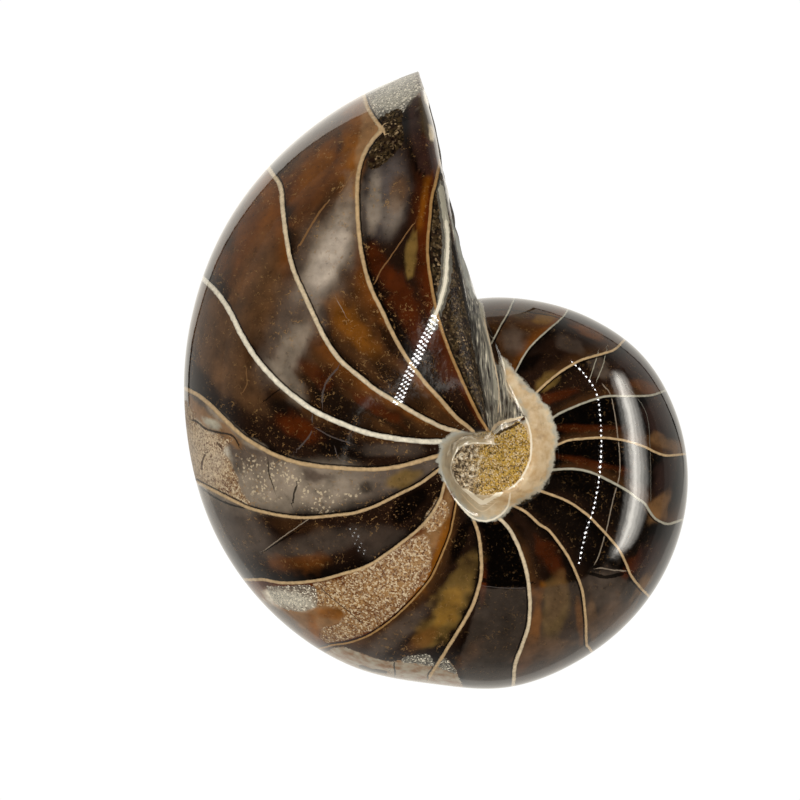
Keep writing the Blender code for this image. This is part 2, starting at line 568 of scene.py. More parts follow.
def curved(points: tuple[Pixel, ...], steps: int = 6) -> np.ndarray:
    """Runs a smooth curve through given points.

    Args:
        points: The points, in order.
        steps: How many short lengths each span is drawn in.

    Returns:
        One row of X and Y for each point of the curve.
    """
    p = np.array(points, float)
    if len(p) < 3:
        return p
    padded = np.vstack((2 * p[0] - p[1], p, 2 * p[-1] - p[-2]))
    made = []
    for a, b, c, d in zip(padded[:-3], padded[1:-2], padded[2:-1], padded[3:]):
        for t in np.arange(steps) / steps:
            bend = (c - a) * t + (2 * a - 5 * b + 4 * c - d) * t**2 + (3 * b - a - 3 * c + d) * t**3
            made.append(b + bend / 2)
    return np.array(made + [p[-1]])


def line_distance(points: np.ndarray, line: np.ndarray, reach: float) -> np.ndarray:
    """Measures how far points lie from a line, with a sign for the side.

    Args:
        points: One row of X and Y for each point.
        line: The line's own points, in order.
        reach: Points further away than this are given it as their distance.

    Returns:
        The distances, positive on the line's right on a picture whose Y runs down.
    """
    best = np.full(len(points), reach)
    low, high = line.min(0) - reach, line.max(0) + reach
    near = np.flatnonzero(np.all((points > low) & (points < high), axis=1))
    spots = points[near]
    gap = np.full(len(near), reach)
    side = np.ones(len(near))
    for a, b in zip(line[:-1], line[1:]):
        run = b - a
        t = np.clip((spots - a) @ run / max(run @ run, 1e-9), 0, 1)
        away = spots - a - t[:, None] * run
        d = np.hypot(away[:, 0], away[:, 1])
        turn = run[0] * (spots[:, 1] - a[1]) - run[1] * (spots[:, 0] - a[0])
        closer = d < gap
        gap[closer] = d[closer]
        side[closer] = np.where(turn[closer] < 0, -1.0, 1.0)
    best[near] = gap * side
    return best


def area_distance(points: np.ndarray, outline: tuple[Pixel, ...], reach: float) -> np.ndarray:
    """Measures how deep points lie in an area.

    Args:
        points: One row of X and Y for each point.
        outline: The area's corners, in order.
        reach: The largest distance given.

    Returns:
        The distances to the area's edge, positive inside.
    """
    ring = curved(tuple(outline) + (outline[0],), 4)
    depth = np.abs(line_distance(points, ring, reach))
    inside = np.zeros(len(points), bool)
    for a, b in zip(ring[:-1], ring[1:]):
        crosses = (a[1] > points[:, 1]) != (b[1] > points[:, 1])
        rise = b[1] - a[1] if abs(b[1] - a[1]) > 1e-9 else 1e-9
        x = a[0] + (points[:, 1] - a[1]) / rise * (b[0] - a[0])
        inside ^= crosses & (points[:, 0] < x)
    return np.where(inside, depth, -depth)


@dataclass(frozen=True)
class Line:
    """A thin line in the stone, or a painted highlight or shadow, through pixels."""

    points: tuple[Pixel, ...]
    width: float
    tint: Tint


@dataclass(frozen=True)
class Stroke:
    """A soft patch of colour in the stone, or of painted sheen, seen at a pixel."""

    tint: Tint
    at: Pixel
    size: tuple[float, float]
    turn: float = 0.0
    strength: float = 0.9
    fray: float = 0.55

    def cover(self, pixels: np.ndarray, wobble: np.ndarray) -> np.ndarray:
        """How much of each point the patch covers.

        Args:
            pixels: One row of picture X and Y for each point.
            wobble: A noise value for each point, which frays the patch's edge.

        Returns:
            0 to the patch's strength for each point.
        """
        angle = math.radians(self.turn)
        x, y = pixels[:, 0] - self.at[0], self.at[1] - pixels[:, 1]
        along = (x * math.cos(angle) + y * math.sin(angle)) / self.size[0]
        across = (y * math.cos(angle) - x * math.sin(angle)) / self.size[1]
        distance = np.hypot(along, across) * (1 + self.fray * wobble)
        return self.strength * ease((1.25 - distance) / 0.75)


@dataclass(frozen=True)
class Patch:
    """An area of one colour with a fairly sharp edge, drawn by pixels."""

    tint: Tint
    outline: tuple[Pixel, ...]
    soft: float = 2.0
    strength: float = 0.9

    def cover(self, pixels: np.ndarray, wobble: np.ndarray) -> np.ndarray:
        """How much of each point the patch covers.

        Args:
            pixels: One row of picture X and Y for each point.
            wobble: A noise value for each point, which frays the patch's edge.

        Returns:
            0 to the patch's strength for each point.
        """
        depth = area_distance(pixels, self.outline, 8 * self.soft) + 2.5 * wobble
        return self.strength * ease(depth / self.soft / 2 + 0.5)


@dataclass(frozen=True)
class Chamber:
    """The colours of one chamber's filling, from its older wall to its younger one."""

    dark: Tint = Tint.COAL
    body: Tint = Tint.UMBER
    glow: Tint = Tint.RUST
    dark_share: float = 0.4
    glow_share: float = 0.35


@dataclass
class Markings:
    """What the polish shows: chamber walls, fillings, cracks and patches, among them painted sheen, haze,
    highlight and shadow, placed by pixel.
    """

    view: View = field(default_factory=View)
    form: HalfForm = field(default_factory=HalfForm)
    wall_overrun: float = 14.0
    reach: float = 3.0
    line_reach: float = 1.6
    line_fade: float = 3.0
    line_gap: float = 1.5
    fray_size: float = 4.0
    fine_fray_size: float = 1.3
    fine_fray: float = 0.6
    youngest_chamber: float = 20.0
    narrowest_chamber: float = 0.5
    unseen_wall: float = 34.0
    unseen_drop: float = 4.8
    off_picture: float = -9999.0
    walls: tuple[Line, ...] = (
        Line(((512.5, 302.4), (507, 314.7), (500.8, 325), (494.7, 337)), 0.26, Tint.STONE),
        Line(((568, 309.6), (562, 317.8), (546.7, 331), (533.5, 343.3), (525.3, 353.5), (517, 368.8)),
              0.28, Tint.STONE),
        Line(((624.3, 340), (615, 349.2), (603.9, 353.3), (580.4, 360.4), (562, 370.8), (548.8, 381),
              (535.5, 393.3)), 0.4, Tint.BEIGE),
        Line(((672, 387), (659, 393), (644.7, 396), (611, 396), (598.8, 398), (580.4, 404.3),
              (561, 412.7), (548, 421)), 0.36, Tint.STONE),
        Line(((685.5, 454), (667, 455.5), (656, 452.4), (645.7, 447.3), (631.4, 442.2), (617, 439.2),
              (600.8, 437.7), (580.4, 438.8), (568, 440.6), (556.5, 445)), 0.4, Tint.BEIGE),
        Line(((682.4, 519.8), (668, 523.9), (658, 520.3), (651.8, 514.7), (644.7, 503.5), (637.6, 498.4),
              (626.3, 490.2), (600.8, 476.4), (585.5, 470.8), (570.2, 468.8), (551, 470)), 0.4,
              Tint.STONE),
        Line(((647.4, 594.6), (641.7, 588.9), (631.4, 575.9), (623.3, 557.6), (615, 544.3),
              (592.7, 519.8), (580.4, 509.6), (566, 500.4), (542.4, 491.6)), 0.42, Tint.BEIGE),
        Line(((589, 647.5), (586.6, 644), (586, 623.3), (584.3, 603.8), (582, 588.9), (576.3, 574),
              (569.4, 559), (559, 543), (548.7, 530.3), (539.4, 524.2), (526.7, 512.8), (515.2, 506.4)),
              0.44, Tint.BEIGE),
        Line(((513.9, 678.6), (515.2, 664.5), (521.6, 646.7), (528, 627.6), (529.9, 608.4),
              (529.2, 589.3), (526.7, 572.7), (521.6, 554.8), (515.2, 539.5), (507.6, 526.8),
              (498.6, 517.9)), 0.6, Tint.CREAM),
        Line(((437.4, 664.5), (443.8, 654.3), (464.2, 621.2), (473, 604.6), (478.9, 586.7),
              (481.4, 571.4), (480.8, 551), (478.2, 533.2), (474.4, 521.7)), 0.56, Tint.BEIGE),
        Line(((324, 647.4), (333.3, 645), (348.3, 642.8), (365.5, 637), (379.3, 629), (394.2, 617.6),
              (410, 602.7), (428.5, 581.6), (437.4, 565), (449.5, 535.7), (453.3, 519), (456.5, 502.6)),
              0.3, Tint.SAND),
        Line(((250.7, 579.7), (264.4, 579.7), (279.4, 582.6), (298.9, 582.6), (321.8, 579.7), (339, 575),
              (362, 568.2), (379.3, 559), (413.7, 533.4), (428.8, 518.3), (439.7, 500.9), (444, 485.7)),
              0.5, Tint.BEIGE),
        Line(((200.4, 484), (220.8, 494.3), (245.3, 506.5), (261.6, 511.6), (282, 515.7), (302.4, 517.8),
              (322.9, 516.7), (340, 514.7), (355, 512.8), (376.8, 505.3), (398.5, 494.4), (420, 483.6),
              (437.5, 470.6)), 0.5, Tint.BEIGE),
        Line(((190.2, 391.2), (198.4, 395.3), (210.6, 405.5), (225.9, 420.8), (241.2, 435),
              (256.5, 445.3), (271.8, 453.5), (287, 459.6), (302.4, 463.7), (322.9, 466.7),
              (361.6, 469.5), (387.6, 468.4), (409.3, 464), (437, 456)), 0.66, Tint.BEIGE),
        Line(((204.9, 280.4), (217, 292.7), (229.4, 311), (241.6, 335.5), (255.9, 358), (274, 379),
              (294.4, 396.9), (316, 412), (340, 422.9), (366, 432.6), (392, 438), (420, 441.3),
              (439.7, 441.7)), 0.82, Tint.IVORY),
        Line(((271.2, 172.2), (280.4, 186.5), (282.4, 206.9), (286.5, 239.6), (292.7, 268.2),
              (306.9, 300.8), (323.3, 335.5), (339, 359), (355, 373), (376.8, 390.4), (398.5, 403.4),
              (420.2, 416.4), (441.8, 427.2), (457, 431.5)), 0.72, Tint.CREAM),
        Line(((364, 96.7), (368.2, 109), (375, 120), (381.5, 128.6), (381.5, 130), (371, 142), (363, 156),
              (358.5, 172), (357, 190.6), (358, 223.3), (362, 256), (370.2, 286.5), (382, 311),
              (392.2, 333), (406.5, 357.6), (422.9, 380), (441.2, 400.4), (455.5, 416.7), (467.8, 427)),
              0.66, Tint.BEIGE),
        Line(((438.8, 167), (435.7, 182.4), (431.6, 197.8), (429.6, 220), (427.6, 241.2), (428.6, 266.7),
              (435.7, 307.6), (443.5, 335), (455.5, 365.7), (476, 410.6), (488, 431)), 0.5, Tint.SAND),
    )
    fillings: tuple[Chamber, ...] = (
        Chamber(Tint.BROWN, Tint.BROWN, Tint.CHESTNUT),
        Chamber(Tint.COAL, Tint.UMBER, Tint.BROWN),
        Chamber(Tint.COAL, Tint.UMBER, Tint.BROWN),
        Chamber(Tint.BLACK, Tint.BLACK, Tint.BROWN, glow_share=0.4),
        Chamber(Tint.BLACK, Tint.BLACK, Tint.BROWN, glow_share=0.4),
        Chamber(Tint.BLACK, Tint.COAL, Tint.UMBER),
        Chamber(Tint.BLACK, Tint.COAL, Tint.UMBER),
        Chamber(Tint.COAL, Tint.UMBER, Tint.BROWN),
        Chamber(Tint.BLACK, Tint.BLACK, Tint.UMBER, glow_share=0.25),
        Chamber(Tint.COAL, Tint.UMBER, Tint.BROWN),
        Chamber(Tint.RUST, Tint.CLAY, Tint.RUST),
        Chamber(Tint.COAL, Tint.UMBER, Tint.UMBER),
        Chamber(Tint.COAL, Tint.DUSK, Tint.DUSK),
        Chamber(Tint.COAL, Tint.UMBER, Tint.BROWN, dark_share=0.2),
        Chamber(Tint.COAL, Tint.BROWN, Tint.CHESTNUT, dark_share=0.25),
        Chamber(Tint.COAL, Tint.BROWN, Tint.CHESTNUT, dark_share=0.25),
        Chamber(Tint.BLACK, Tint.UMBER, Tint.RUST),
        Chamber(Tint.COAL, Tint.UMBER, Tint.UMBER),
    )
    strokes: tuple[Stroke, ...] = (
        Stroke(Tint.PLUM, (315, 165), (60, 14), 45, 0.7),
        Stroke(Tint.BARK, (318, 150), (60, 9), 40, 0.6),
        Stroke(Tint.AMBER, (352, 152), (60, 12), 82, 0.8),
        Stroke(Tint.CHESTNUT, (314, 182), (44, 24), 55, 0.75),
        Stroke(Tint.AMBER, (312, 172), (26, 12), 50, 0.4),
        # The next six strokes are painted sheen: a broad soft reflection on the left whorl, in grey, mist
        # and pearl.
        Stroke(Tint.MIST, (345, 202), (26, 9), 76, 0.5, 0.4),
        Stroke(Tint.DUSK, (322, 262), (92, 34), 60, 0.75, 0.25),
        Stroke(Tint.MIST, (330, 252), (62, 20), 64, 0.7, 0.3),
        Stroke(Tint.PEARL_SHEEN, (328, 262), (46, 14), 66, 0.5, 0.3),
        Stroke(Tint.DUSK, (290, 340), (66, 26), 60, 0.7, 0.3),
        Stroke(Tint.MIST, (294, 345), (40, 13), 62, 0.5, 0.4),
        Stroke(Tint.AMBER, (352, 328), (36, 13), -50, 0.55),
        Stroke(Tint.AMBER, (266, 205), (36, 9), 88, 0.6),
        Stroke(Tint.CHESTNUT, (252, 235), (56, 22), 66, 0.75),
        Stroke(Tint.BARK, (214, 335), (62, 26), -65, 0.75, 0.3),
        Stroke(Tint.BARK, (238, 385), (44, 18), -40, 0.7, 0.3),
        Stroke(Tint.BARK, (256, 290), (66, 26), 75, 0.6, 0.3),
        Stroke(Tint.COAL, (335, 402), (44, 15), -36, 0.9),
        Stroke(Tint.COAL, (392, 420), (50, 10), -30, 0.6),
        Stroke(Tint.COAL, (400, 385), (44, 11), -42, 0.6),
        Stroke(Tint.COAL, (330, 443), (60, 14), -16, 0.6),
        Stroke(Tint.RUST, (372, 405), (30, 7), -32, 0.7),
        Stroke(Tint.RUST, (312, 372), (22, 7), -45, 0.5),
        # Painted sheen: a small mist stroke for a soft reflection.
        Stroke(Tint.MIST, (288, 384), (26, 11), -42, 0.4),
        Stroke(Tint.COAL, (286, 412), (30, 10), -35, 0.8),
        Stroke(Tint.RUST, (300, 430), (26, 12), -22, 0.8),
        Stroke(Tint.COAL, (345, 450), (32, 10), -12, 0.85),
        Stroke(Tint.DUSK, (392, 450), (36, 8), 0, 0.6),
        # The next four strokes are painted sheen near the tip: a slate and mist reflection round a brown
        # middle.
        Stroke(Tint.SLATE, (387, 197), (46, 23), 80, 0.9, 0.15),
        Stroke(Tint.MIST, (374, 205), (34, 8), 84, 0.5, 0.3),
        Stroke(Tint.BARK, (398, 193), (20, 11), 76, 0.75, 0.3),
        Stroke(Tint.MIST, (392, 214), (26, 12), 80, 0.25, 0.3),
        Stroke(Tint.RUST, (378, 262), (30, 12), -70, 0.6),
        Stroke(Tint.RUST, (408, 312), (42, 14), -72, 0.75),
        Stroke(Tint.COAL, (394, 345), (34, 8), -55, 0.85),
        Stroke(Tint.RUST, (440, 360), (34, 7), -66, 0.5),
        Stroke(Tint.AMBER, (424, 200), (30, 4), 80, 0.5),
        Stroke(Tint.STONE, (395, 92), (26, 16), 30, 0.9),
        Stroke(Tint.MIST, (286, 487), (96, 26), 3, 0.7, 0.15),
        Stroke(Tint.IVORY, (206, 455), (36, 20), -72, 0.9, 0.2),
        Stroke(Tint.MOSS, (402, 479), (24, 8), 20, 0.8),
        Stroke(Tint.COAL, (366, 487), (10, 9), 10, 0.7),
        Stroke(Tint.BLACK, (412, 503), (30, 12), 36, 0.9),
        Stroke(Tint.DUSK, (242, 530), (46, 20), -40, 0.65, 0.2),
        Stroke(Tint.BROWN, (290, 525), (30, 8), -10, 0.5),
        Stroke(Tint.DUSK, (318, 545), (48, 14), 12, 0.6, 0.2),
        Stroke(Tint.CHESTNUT, (300, 562), (34, 9), 4, 0.65),
        Stroke(Tint.AMBER, (441, 545), (34, 5), 72, 0.8),
        Stroke(Tint.AMBER, (425, 580), (24, 4), 52, 0.7),
        Stroke(Tint.IVORY, (286, 599), (24, 10), -10, 0.9),
        Stroke(Tint.AMBER, (332, 613), (18, 6), 0, 0.85),
        Stroke(Tint.AMBER, (314, 628), (14, 5), -70, 0.85),
        Stroke(Tint.DUSK, (286, 622), (26, 9), -40, 0.9),
        Stroke(Tint.DUSK, (396, 634), (44, 11), 38, 0.65, 0.2),
        Stroke(Tint.MOSS, (452, 602), (52, 14), 62, 0.7),
        Stroke(Tint.MOSS, (436, 628), (34, 14), 46, 0.6),
        Stroke(Tint.HONEY, (446, 612), (26, 9), 58, 0.6),
        Stroke(Tint.CHESTNUT, (425, 638), (24, 9), 36, 0.5),
        Stroke(Tint.BLACK, (460, 540), (26, 6), 70, 0.9),
        Stroke(Tint.BLACK, (505, 555), (34, 18), 88, 0.95),
        Stroke(Tint.RUST, (483, 585), (22, 4), 88, 0.7),
        Stroke(Tint.BROWN, (468, 655), (22, 9), 50, 0.8),
        Stroke(Tint.RUST, (552, 562), (26, 9), -60, 0.6),
        Stroke(Tint.MOSS, (555, 610), (38, 14), 84, 0.75, 0.3),
        Stroke(Tint.BARK, (556, 595), (26, 10), 80, 0.5),
        Stroke(Tint.AMBER, (535, 628), (38, 6), 82, 0.85),
        Stroke(Tint.CHESTNUT, (526, 660), (16, 8), 60, 0.8),
        Stroke(Tint.AMBER, (580, 622), (22, 4), -84, 0.5),
        Stroke(Tint.BARK, (545, 650), (28, 14), 20, 0.8),
        Stroke(Tint.DUSK, (608, 592), (20, 24), 0, 0.65),
        Stroke(Tint.CLAY, (593, 618), (24, 5), -86, 0.45),
        Stroke(Tint.BARK, (612, 618), (22, 14), 35, 0.8),
        Stroke(Tint.RUST, (632, 566), (16, 6), 50, 0.7),
        Stroke(Tint.CLAY, (644, 582), (18, 6), 55, 0.6),
        Stroke(Tint.PLUM, (650, 560), (24, 13), 60, 0.75),
        Stroke(Tint.PLUM, (664, 480), (24, 13), 88, 0.65),
        Stroke(Tint.CLAY, (660, 507), (18, 8), 60, 0.6),
        Stroke(Tint.PLUM, (658, 415), (24, 14), -75, 0.65),
        Stroke(Tint.CLAY, (664, 443), (18, 6), -20, 0.45),
        Stroke(Tint.PLUM, (636, 372), (26, 12), -45, 0.65),
        Stroke(Tint.CHESTNUT, (642, 386), (18, 6), -20, 0.6),
        Stroke(Tint.DUSK, (598, 366), (12, 7), -60, 0.7),
        Stroke(Tint.RUST, (560, 395), (22, 6), 15, 0.6),
        Stroke(Tint.MOSS, (548, 382), (15, 6), 24, 0.75),
        Stroke(Tint.RUST, (590, 428), (40, 4), 0, 0.5),
        Stroke(Tint.RUST, (590, 463), (40, 4), -12, 0.5),
        Stroke(Tint.BROWN, (535, 322), (18, 9), 10, 0.7),
        Stroke(Tint.HONEY, (545, 318), (12, 5), 10, 0.4),
        Stroke(Tint.OLIVE, (522, 312), (10, 6), 20, 0.6),
        Stroke(Tint.DUSK, (512, 340), (12, 14), 40, 0.6),
        Stroke(Tint.CHESTNUT, (590, 333), (24, 6), -25, 0.85),
        Stroke(Tint.DUSK, (570, 345), (16, 8), -30, 0.4),
        Stroke(Tint.BLACK, (530, 362), (16, 6), 35, 0.9),
        Stroke(Tint.BLACK, (590, 412), (40, 6), 5, 0.8),
        Stroke(Tint.BLACK, (590, 450), (40, 6), -5, 0.8),
        Stroke(Tint.BLACK, (580, 485), (34, 7), -28, 0.8),
    )
    patches: tuple[Patch, ...] = (
        Patch(Tint.CLAY, ((362, 95), (370, 96), (375, 114), (383, 129), (372, 142), (365, 156),
              (362, 172), (358, 195), (354, 196), (355, 170), (361, 118)), 1.5, 0.95),
        Patch(Tint.BLACK, ((404, 104), (402, 124), (405, 143), (415, 164), (422, 178), (427, 178),
              (419, 162), (410, 142), (408, 124), (409, 106)), 1.2),
        Patch(Tint.PLUM, ((409, 106), (414, 98), (421, 94), (417, 108), (421, 130), (432, 148),
              (434, 162), (432, 175), (425, 176), (417, 159), (411, 140), (409, 125)), 1.2),
        Patch(Tint.OLIVE, ((419, 97), (426, 95), (433, 124), (435, 140), (430, 142), (422, 129),
              (418, 111)), 1.2),
        Patch(Tint.CREAM, ((423, 95), (428, 95), (430, 103), (427, 104)), 0.8),
        Patch(Tint.CREAM, ((429, 126), (434, 127), (435, 137), (431, 139)), 0.8),
        Patch(Tint.MOSS, ((414, 229), (417, 236), (416, 259), (412, 275), (406, 274), (406, 251),
              (409, 239)), 1.5, 0.9),
        Patch(Tint.BLACK, ((488, 328), (495, 334), (499, 350), (500, 362), (494, 358), (489, 344)), 2,
              0.9),
        Patch(Tint.MIST, ((206, 402), (220, 412), (236, 427), (252, 438), (268, 447), (262, 453),
              (240, 442), (222, 427), (208, 411)), 1.5, 0.7),
        Patch(Tint.CLAY, ((190, 397), (231, 432), (242, 443), (238, 450), (228, 440), (214, 434),
              (200, 424), (190, 408)), 1.5, 0.8),
        Patch(Tint.STONE, ((202, 418), (212, 418), (219, 426), (214, 429), (205, 424)), 1.5, 0.9),
        Patch(Tint.PLUM, ((305, 471), (330, 473), (334, 479), (318, 482), (306, 478)), 3, 0.7),
        Patch(Tint.DUSK, ((351, 525), (404, 531), (387, 548), (366, 559)), 4, 0.35),
        # Painted reflection: a grey haze over the lower chambers below the crack.
        Patch(Tint.DUSK, ((482, 588), (528, 588), (575, 582), (600, 572), (640, 595), (600, 660),
              (520, 690), (462, 676)), 1.5, 0.4),
    )
    sandy: tuple[tuple[Pixel, ...], ...] = (
        ((184, 400), (188, 402), (200, 424), (209, 431), (225, 437), (232, 438), (224, 450), (227, 457),
         (234, 470), (243, 493), (250, 505), (240, 504), (221, 495), (198, 482), (184, 470)),
        ((437, 499), (448, 503), (445, 519), (433, 532), (422, 527)),
        ((429, 541), (432.5, 558), (427, 576), (413, 594), (396, 613), (372, 630), (351, 638), (331, 643),
         (323, 640), (322, 628), (338, 622), (346, 612), (330, 606), (316, 605), (313, 588), (318, 583),
         (343, 577), (372, 563), (402, 545), (420, 535)),
    )
    gritty: tuple[tuple[Pixel, ...], ...] = (
        ((266, 586), (288, 586), (313, 586), (317, 605), (303, 611), (288, 610), (275, 603)),
        ((404, 657), (428, 654), (434, 662), (445, 658), (457, 674), (440, 668), (420, 664), (402, 662)),
        ((364, 97), (400, 78), (418, 68), (428, 84), (420, 92), (408, 103), (404, 112), (392, 118),
         (380, 128), (370, 114)),
    )
    stony: tuple[tuple[Pixel, ...], ...] = (
        ((326, 652), (338, 647), (350, 649), (385, 661), (402, 660), (428, 664), (446, 659), (458, 675),
         (460, 700), (400, 690), (330, 665)),
    )
    speckled: tuple[tuple[Pixel, ...], ...] = (
        ((236, 455), (270, 460), (299, 466), (300, 484), (284, 486), (282, 498), (262, 498), (246, 486)),
        ((299, 487), (320, 484), (337, 490), (337, 510), (318, 512), (300, 505)),
        ((345, 485), (356, 484), (360, 496), (348, 498)),
    )
    granular: tuple[tuple[Pixel, ...], ...] = (
        ((439, 166), (444, 182), (453, 237), (467, 301), (472, 339), (484, 400), (488, 430), (476, 408),
         (455, 363), (443, 333), (431, 286), (428, 240), (434, 190)),
        ((372, 122), (400, 108), (402, 124), (404, 142), (396, 152), (378, 168), (368, 166), (372, 146),
         (384, 130)),
    )
    streaky: tuple[tuple[Pixel, ...], ...] = (
        ((450, 218), (456, 216), (465, 254), (473, 292), (480, 303), (488, 330), (494, 362), (501, 366),
         (505, 384), (509, 397), (517, 407), (523, 417), (516, 420), (500, 423), (494, 430), (488, 428),
         (484, 400), (472, 339), (467, 301), (461, 271)),
    )
    rims_and_painted_light: tuple[Line, ...] = (
        Line(((503, 362), (505, 374), (507, 388), (517, 402), (527, 421), (531, 437), (531, 452),
              (529, 463), (519, 481), (505, 492)), 0.3, Tint.IVORY),
        Line(((494, 444), (480, 443), (468, 444), (459, 448), (453, 458), (451, 469), (455, 480),
              (461, 487)), 0.24, Tint.IVORY),
        Line(((492, 432), (497, 425), (505, 422), (517, 419), (523, 416)), 0.7, Tint.CREAM),
        Line(((460, 487), (467, 492), (474, 498), (482, 503), (490, 500), (498, 495), (506, 491)), 1.0,
              Tint.IVORY),
        Line(((462, 494), (470, 503), (480, 511), (488, 509), (496, 502)), 0.2, Tint.CREAM),
        Line(((455, 499), (464, 510), (473, 518), (486, 521), (499, 516), (508, 506), (510, 494)), 0.3,
              Tint.IVORY),
        Line(((484, 318), (497, 376), (499, 398), (498, 412)), 0.22, Tint.CREAM),
        # Painted shadow: a dark line in the gap under the mouth's lip.
        Line(((497, 434), (503, 430), (511, 427), (519, 423)), 0.5, Tint.UMBER),
        # Painted highlight: the bright core of the light on the mouth's rounded edge.
        Line(((446, 220), (448, 240), (447, 262), (445, 283), (439, 305), (433, 322)), 0.5, Tint.IVORY),
    )
    pale_cracks_and_highlight: tuple[Line, ...] = (
        Line(((603, 385), (611, 396), (617, 430), (620, 470), (613, 500), (605, 535), (594, 565),
              (575, 577)), 0.16, Tint.MIST),
        Line(((617, 375), (645, 410), (650, 450), (651, 500)), 0.1, Tint.ASH),
        Line(((353, 172), (340, 192), (325, 205), (312, 224), (300, 245)), 0.3, Tint.CLAY),
        Line(((413, 224), (389, 259), (381, 270), (375, 283)), 0.2, Tint.CLAY),
        Line(((337, 300), (341, 307), (345, 315)), 0.1, Tint.MIST),
        Line(((309, 519), (297, 527), (284, 536), (266, 549)), 0.14, Tint.MIST),
        Line(((336, 370), (327, 381), (323, 392), (322, 402)), 0.3, Tint.SLATE),
        Line(((312, 417), (312, 426), (310, 435), (299, 448)), 0.25, Tint.SLATE),
        Line(((312, 426), (321, 431), (332, 437), (350, 443)), 0.2, Tint.SLATE),
        Line(((335, 448), (339, 459), (350, 463)), 0.14, Tint.SLATE),
        Line(((484, 586), (505, 588), (528, 588)), 0.12, Tint.SLATE),
        Line(((575, 577), (586, 571), (600, 568), (612, 570), (626, 571)), 0.2, Tint.MIST),
        Line(((246, 370), (247, 384), (243, 392)), 0.1, Tint.CLAY),
        Line(((345, 180), (340, 186), (330, 198)), 0.1, Tint.BEIGE),
        Line(((453, 219), (459, 240), (467, 272), (474, 296)), 1.2, Tint.HAZE),
        # Painted highlight: the wide grey edge of the light on the mouth's rounded edge.
        Line(((441, 186), (447, 230), (447, 256), (445, 283), (438, 309), (431, 328)), 1.8, Tint.ASH),
        Line(((481, 305), (485, 330), (489, 352), (497, 398)), 0.8, Tint.STONE),
        Line(((598, 353), (594, 366), (590, 378)), 0.14, Tint.STONE),
        Line(((606, 352), (603, 365), (597, 380)), 0.14, Tint.STONE),
    )
    dark_cracks_and_highlight: tuple[Line, ...] = (
        # Painted highlight: the middle band of the light on the mouth's rounded edge.
        Line(((441, 188), (447, 230), (447, 256), (445, 283), (439, 305), (433, 322)), 0.95, Tint.STONE),
        Line(((194, 420), (200, 424), (206, 429), (221, 433), (228, 434), (234, 437), (239, 445)), 0.3,
              Tint.BLACK),
        Line(((394, 664), (395, 674)), 0.3, Tint.BLACK),
        Line(((592, 574), (606, 577), (622, 574)), 0.6, Tint.BLACK),
        Line(((200, 487), (216, 498), (232, 505), (245, 508)), 0.3, Tint.BLACK),
        Line(((268, 462), (269, 474), (274, 488)), 0.16, Tint.BLACK),
        Line(((296, 487), (294, 494), (293, 501)), 0.3, Tint.BLACK),
        Line(((360, 666), (372, 670), (386, 672)), 0.5, Tint.BLACK),
        Line(((205, 455), (202, 462), (202, 468)), 0.3, Tint.BROWN),
        Line(((218, 443), (221, 448)), 0.3, Tint.BROWN),
        Line(((322, 589), (334, 600), (348, 611), (360, 622)), 0.16, Tint.BROWN),
        Line(((266, 400), (273, 394), (279, 390)), 0.2, Tint.BLACK),
        Line(((495, 310), (512, 310), (548, 315), (562, 319)), 0.16, Tint.COAL),
        Line(((481, 580), (505, 583), (528, 583)), 0.7, Tint.BLACK),
        Line(((265, 551), (284, 539), (300, 529)), 0.2, Tint.BLACK),
        Line(((452, 243), (458, 267), (464, 296), (470, 320), (476, 350), (481, 382), (488, 412)), 0.5,
              Tint.COAL),
        Line(((474, 300), (482, 325), (489, 352), (492, 380), (493, 405)), 0.35, Tint.ASH),
    )
    ring: tuple[Pixel, ...] = (
        (500, 352), (521, 377), (547, 404), (553, 418), (557, 434), (557, 450), (554, 468), (547, 483),
        (537, 494), (512, 508), (500, 518), (487, 522), (473, 519), (462, 508), (441, 476), (437, 462),
        (441, 443), (450, 434), (462, 431), (478, 433), (494, 430), (501, 424), (518, 421), (525, 419),
        (517, 405), (508, 395), (500, 366),
    )
    plug: tuple[Pixel, ...] = (
        (494, 444), (470, 444), (460, 447), (454, 457), (452, 468), (456, 480), (464, 489), (475, 494),
        (487, 495), (500, 492), (512, 486), (521, 477), (527, 466), (530, 452), (529, 438), (525, 427),
        (518, 421), (509, 427), (500, 431), (494, 437),
    )

    def sample_walls(self) -> list[np.ndarray]:
        """Runs each chamber wall's smooth line, a little past its two ends.

        Returns:
            The points of each line, in pixels.
        """
        lines = []
        for wall in self.walls:
            p = np.array(wall.points)
            out = p[0] - (p[1] - p[0]) / np.linalg.norm(p[1] - p[0]) * self.wall_overrun
            inward = p[-1] + (p[-1] - p[-2]) / np.linalg.norm(p[-1] - p[-2]) * self.wall_overrun / 2
            lines.append(curved((tuple(out), *wall.points, tuple(inward))))
        return lines

    def locate(self, pixel: np.ndarray, rounds: int = 6) -> tuple[float, float]:
        """Finds which point of the flank is seen at a pixel.

        Args:
            pixel: A place on the picture.
            rounds: How often the point's height is guessed anew.

        Returns:
            The point's share of the way to the venter and its winding angle.
        """
        form = self.form
        z = form.flank_height(0, form.crest)
        for _ in range(rounds):
            x, y = self.view.plan((float(pixel[0]), float(pixel[1])), z)
            winding = (form.winding_start - math.degrees(math.atan2(y, x))) % 360
            shoulder, venter = smooth(form.shoulder, winding), smooth(form.venter, winding)
            share = min(max((math.hypot(x, y) - shoulder) / (venter - shoulder), 0.0), 1.0)
            z = form.flank_height(winding, share)
        return share, winding

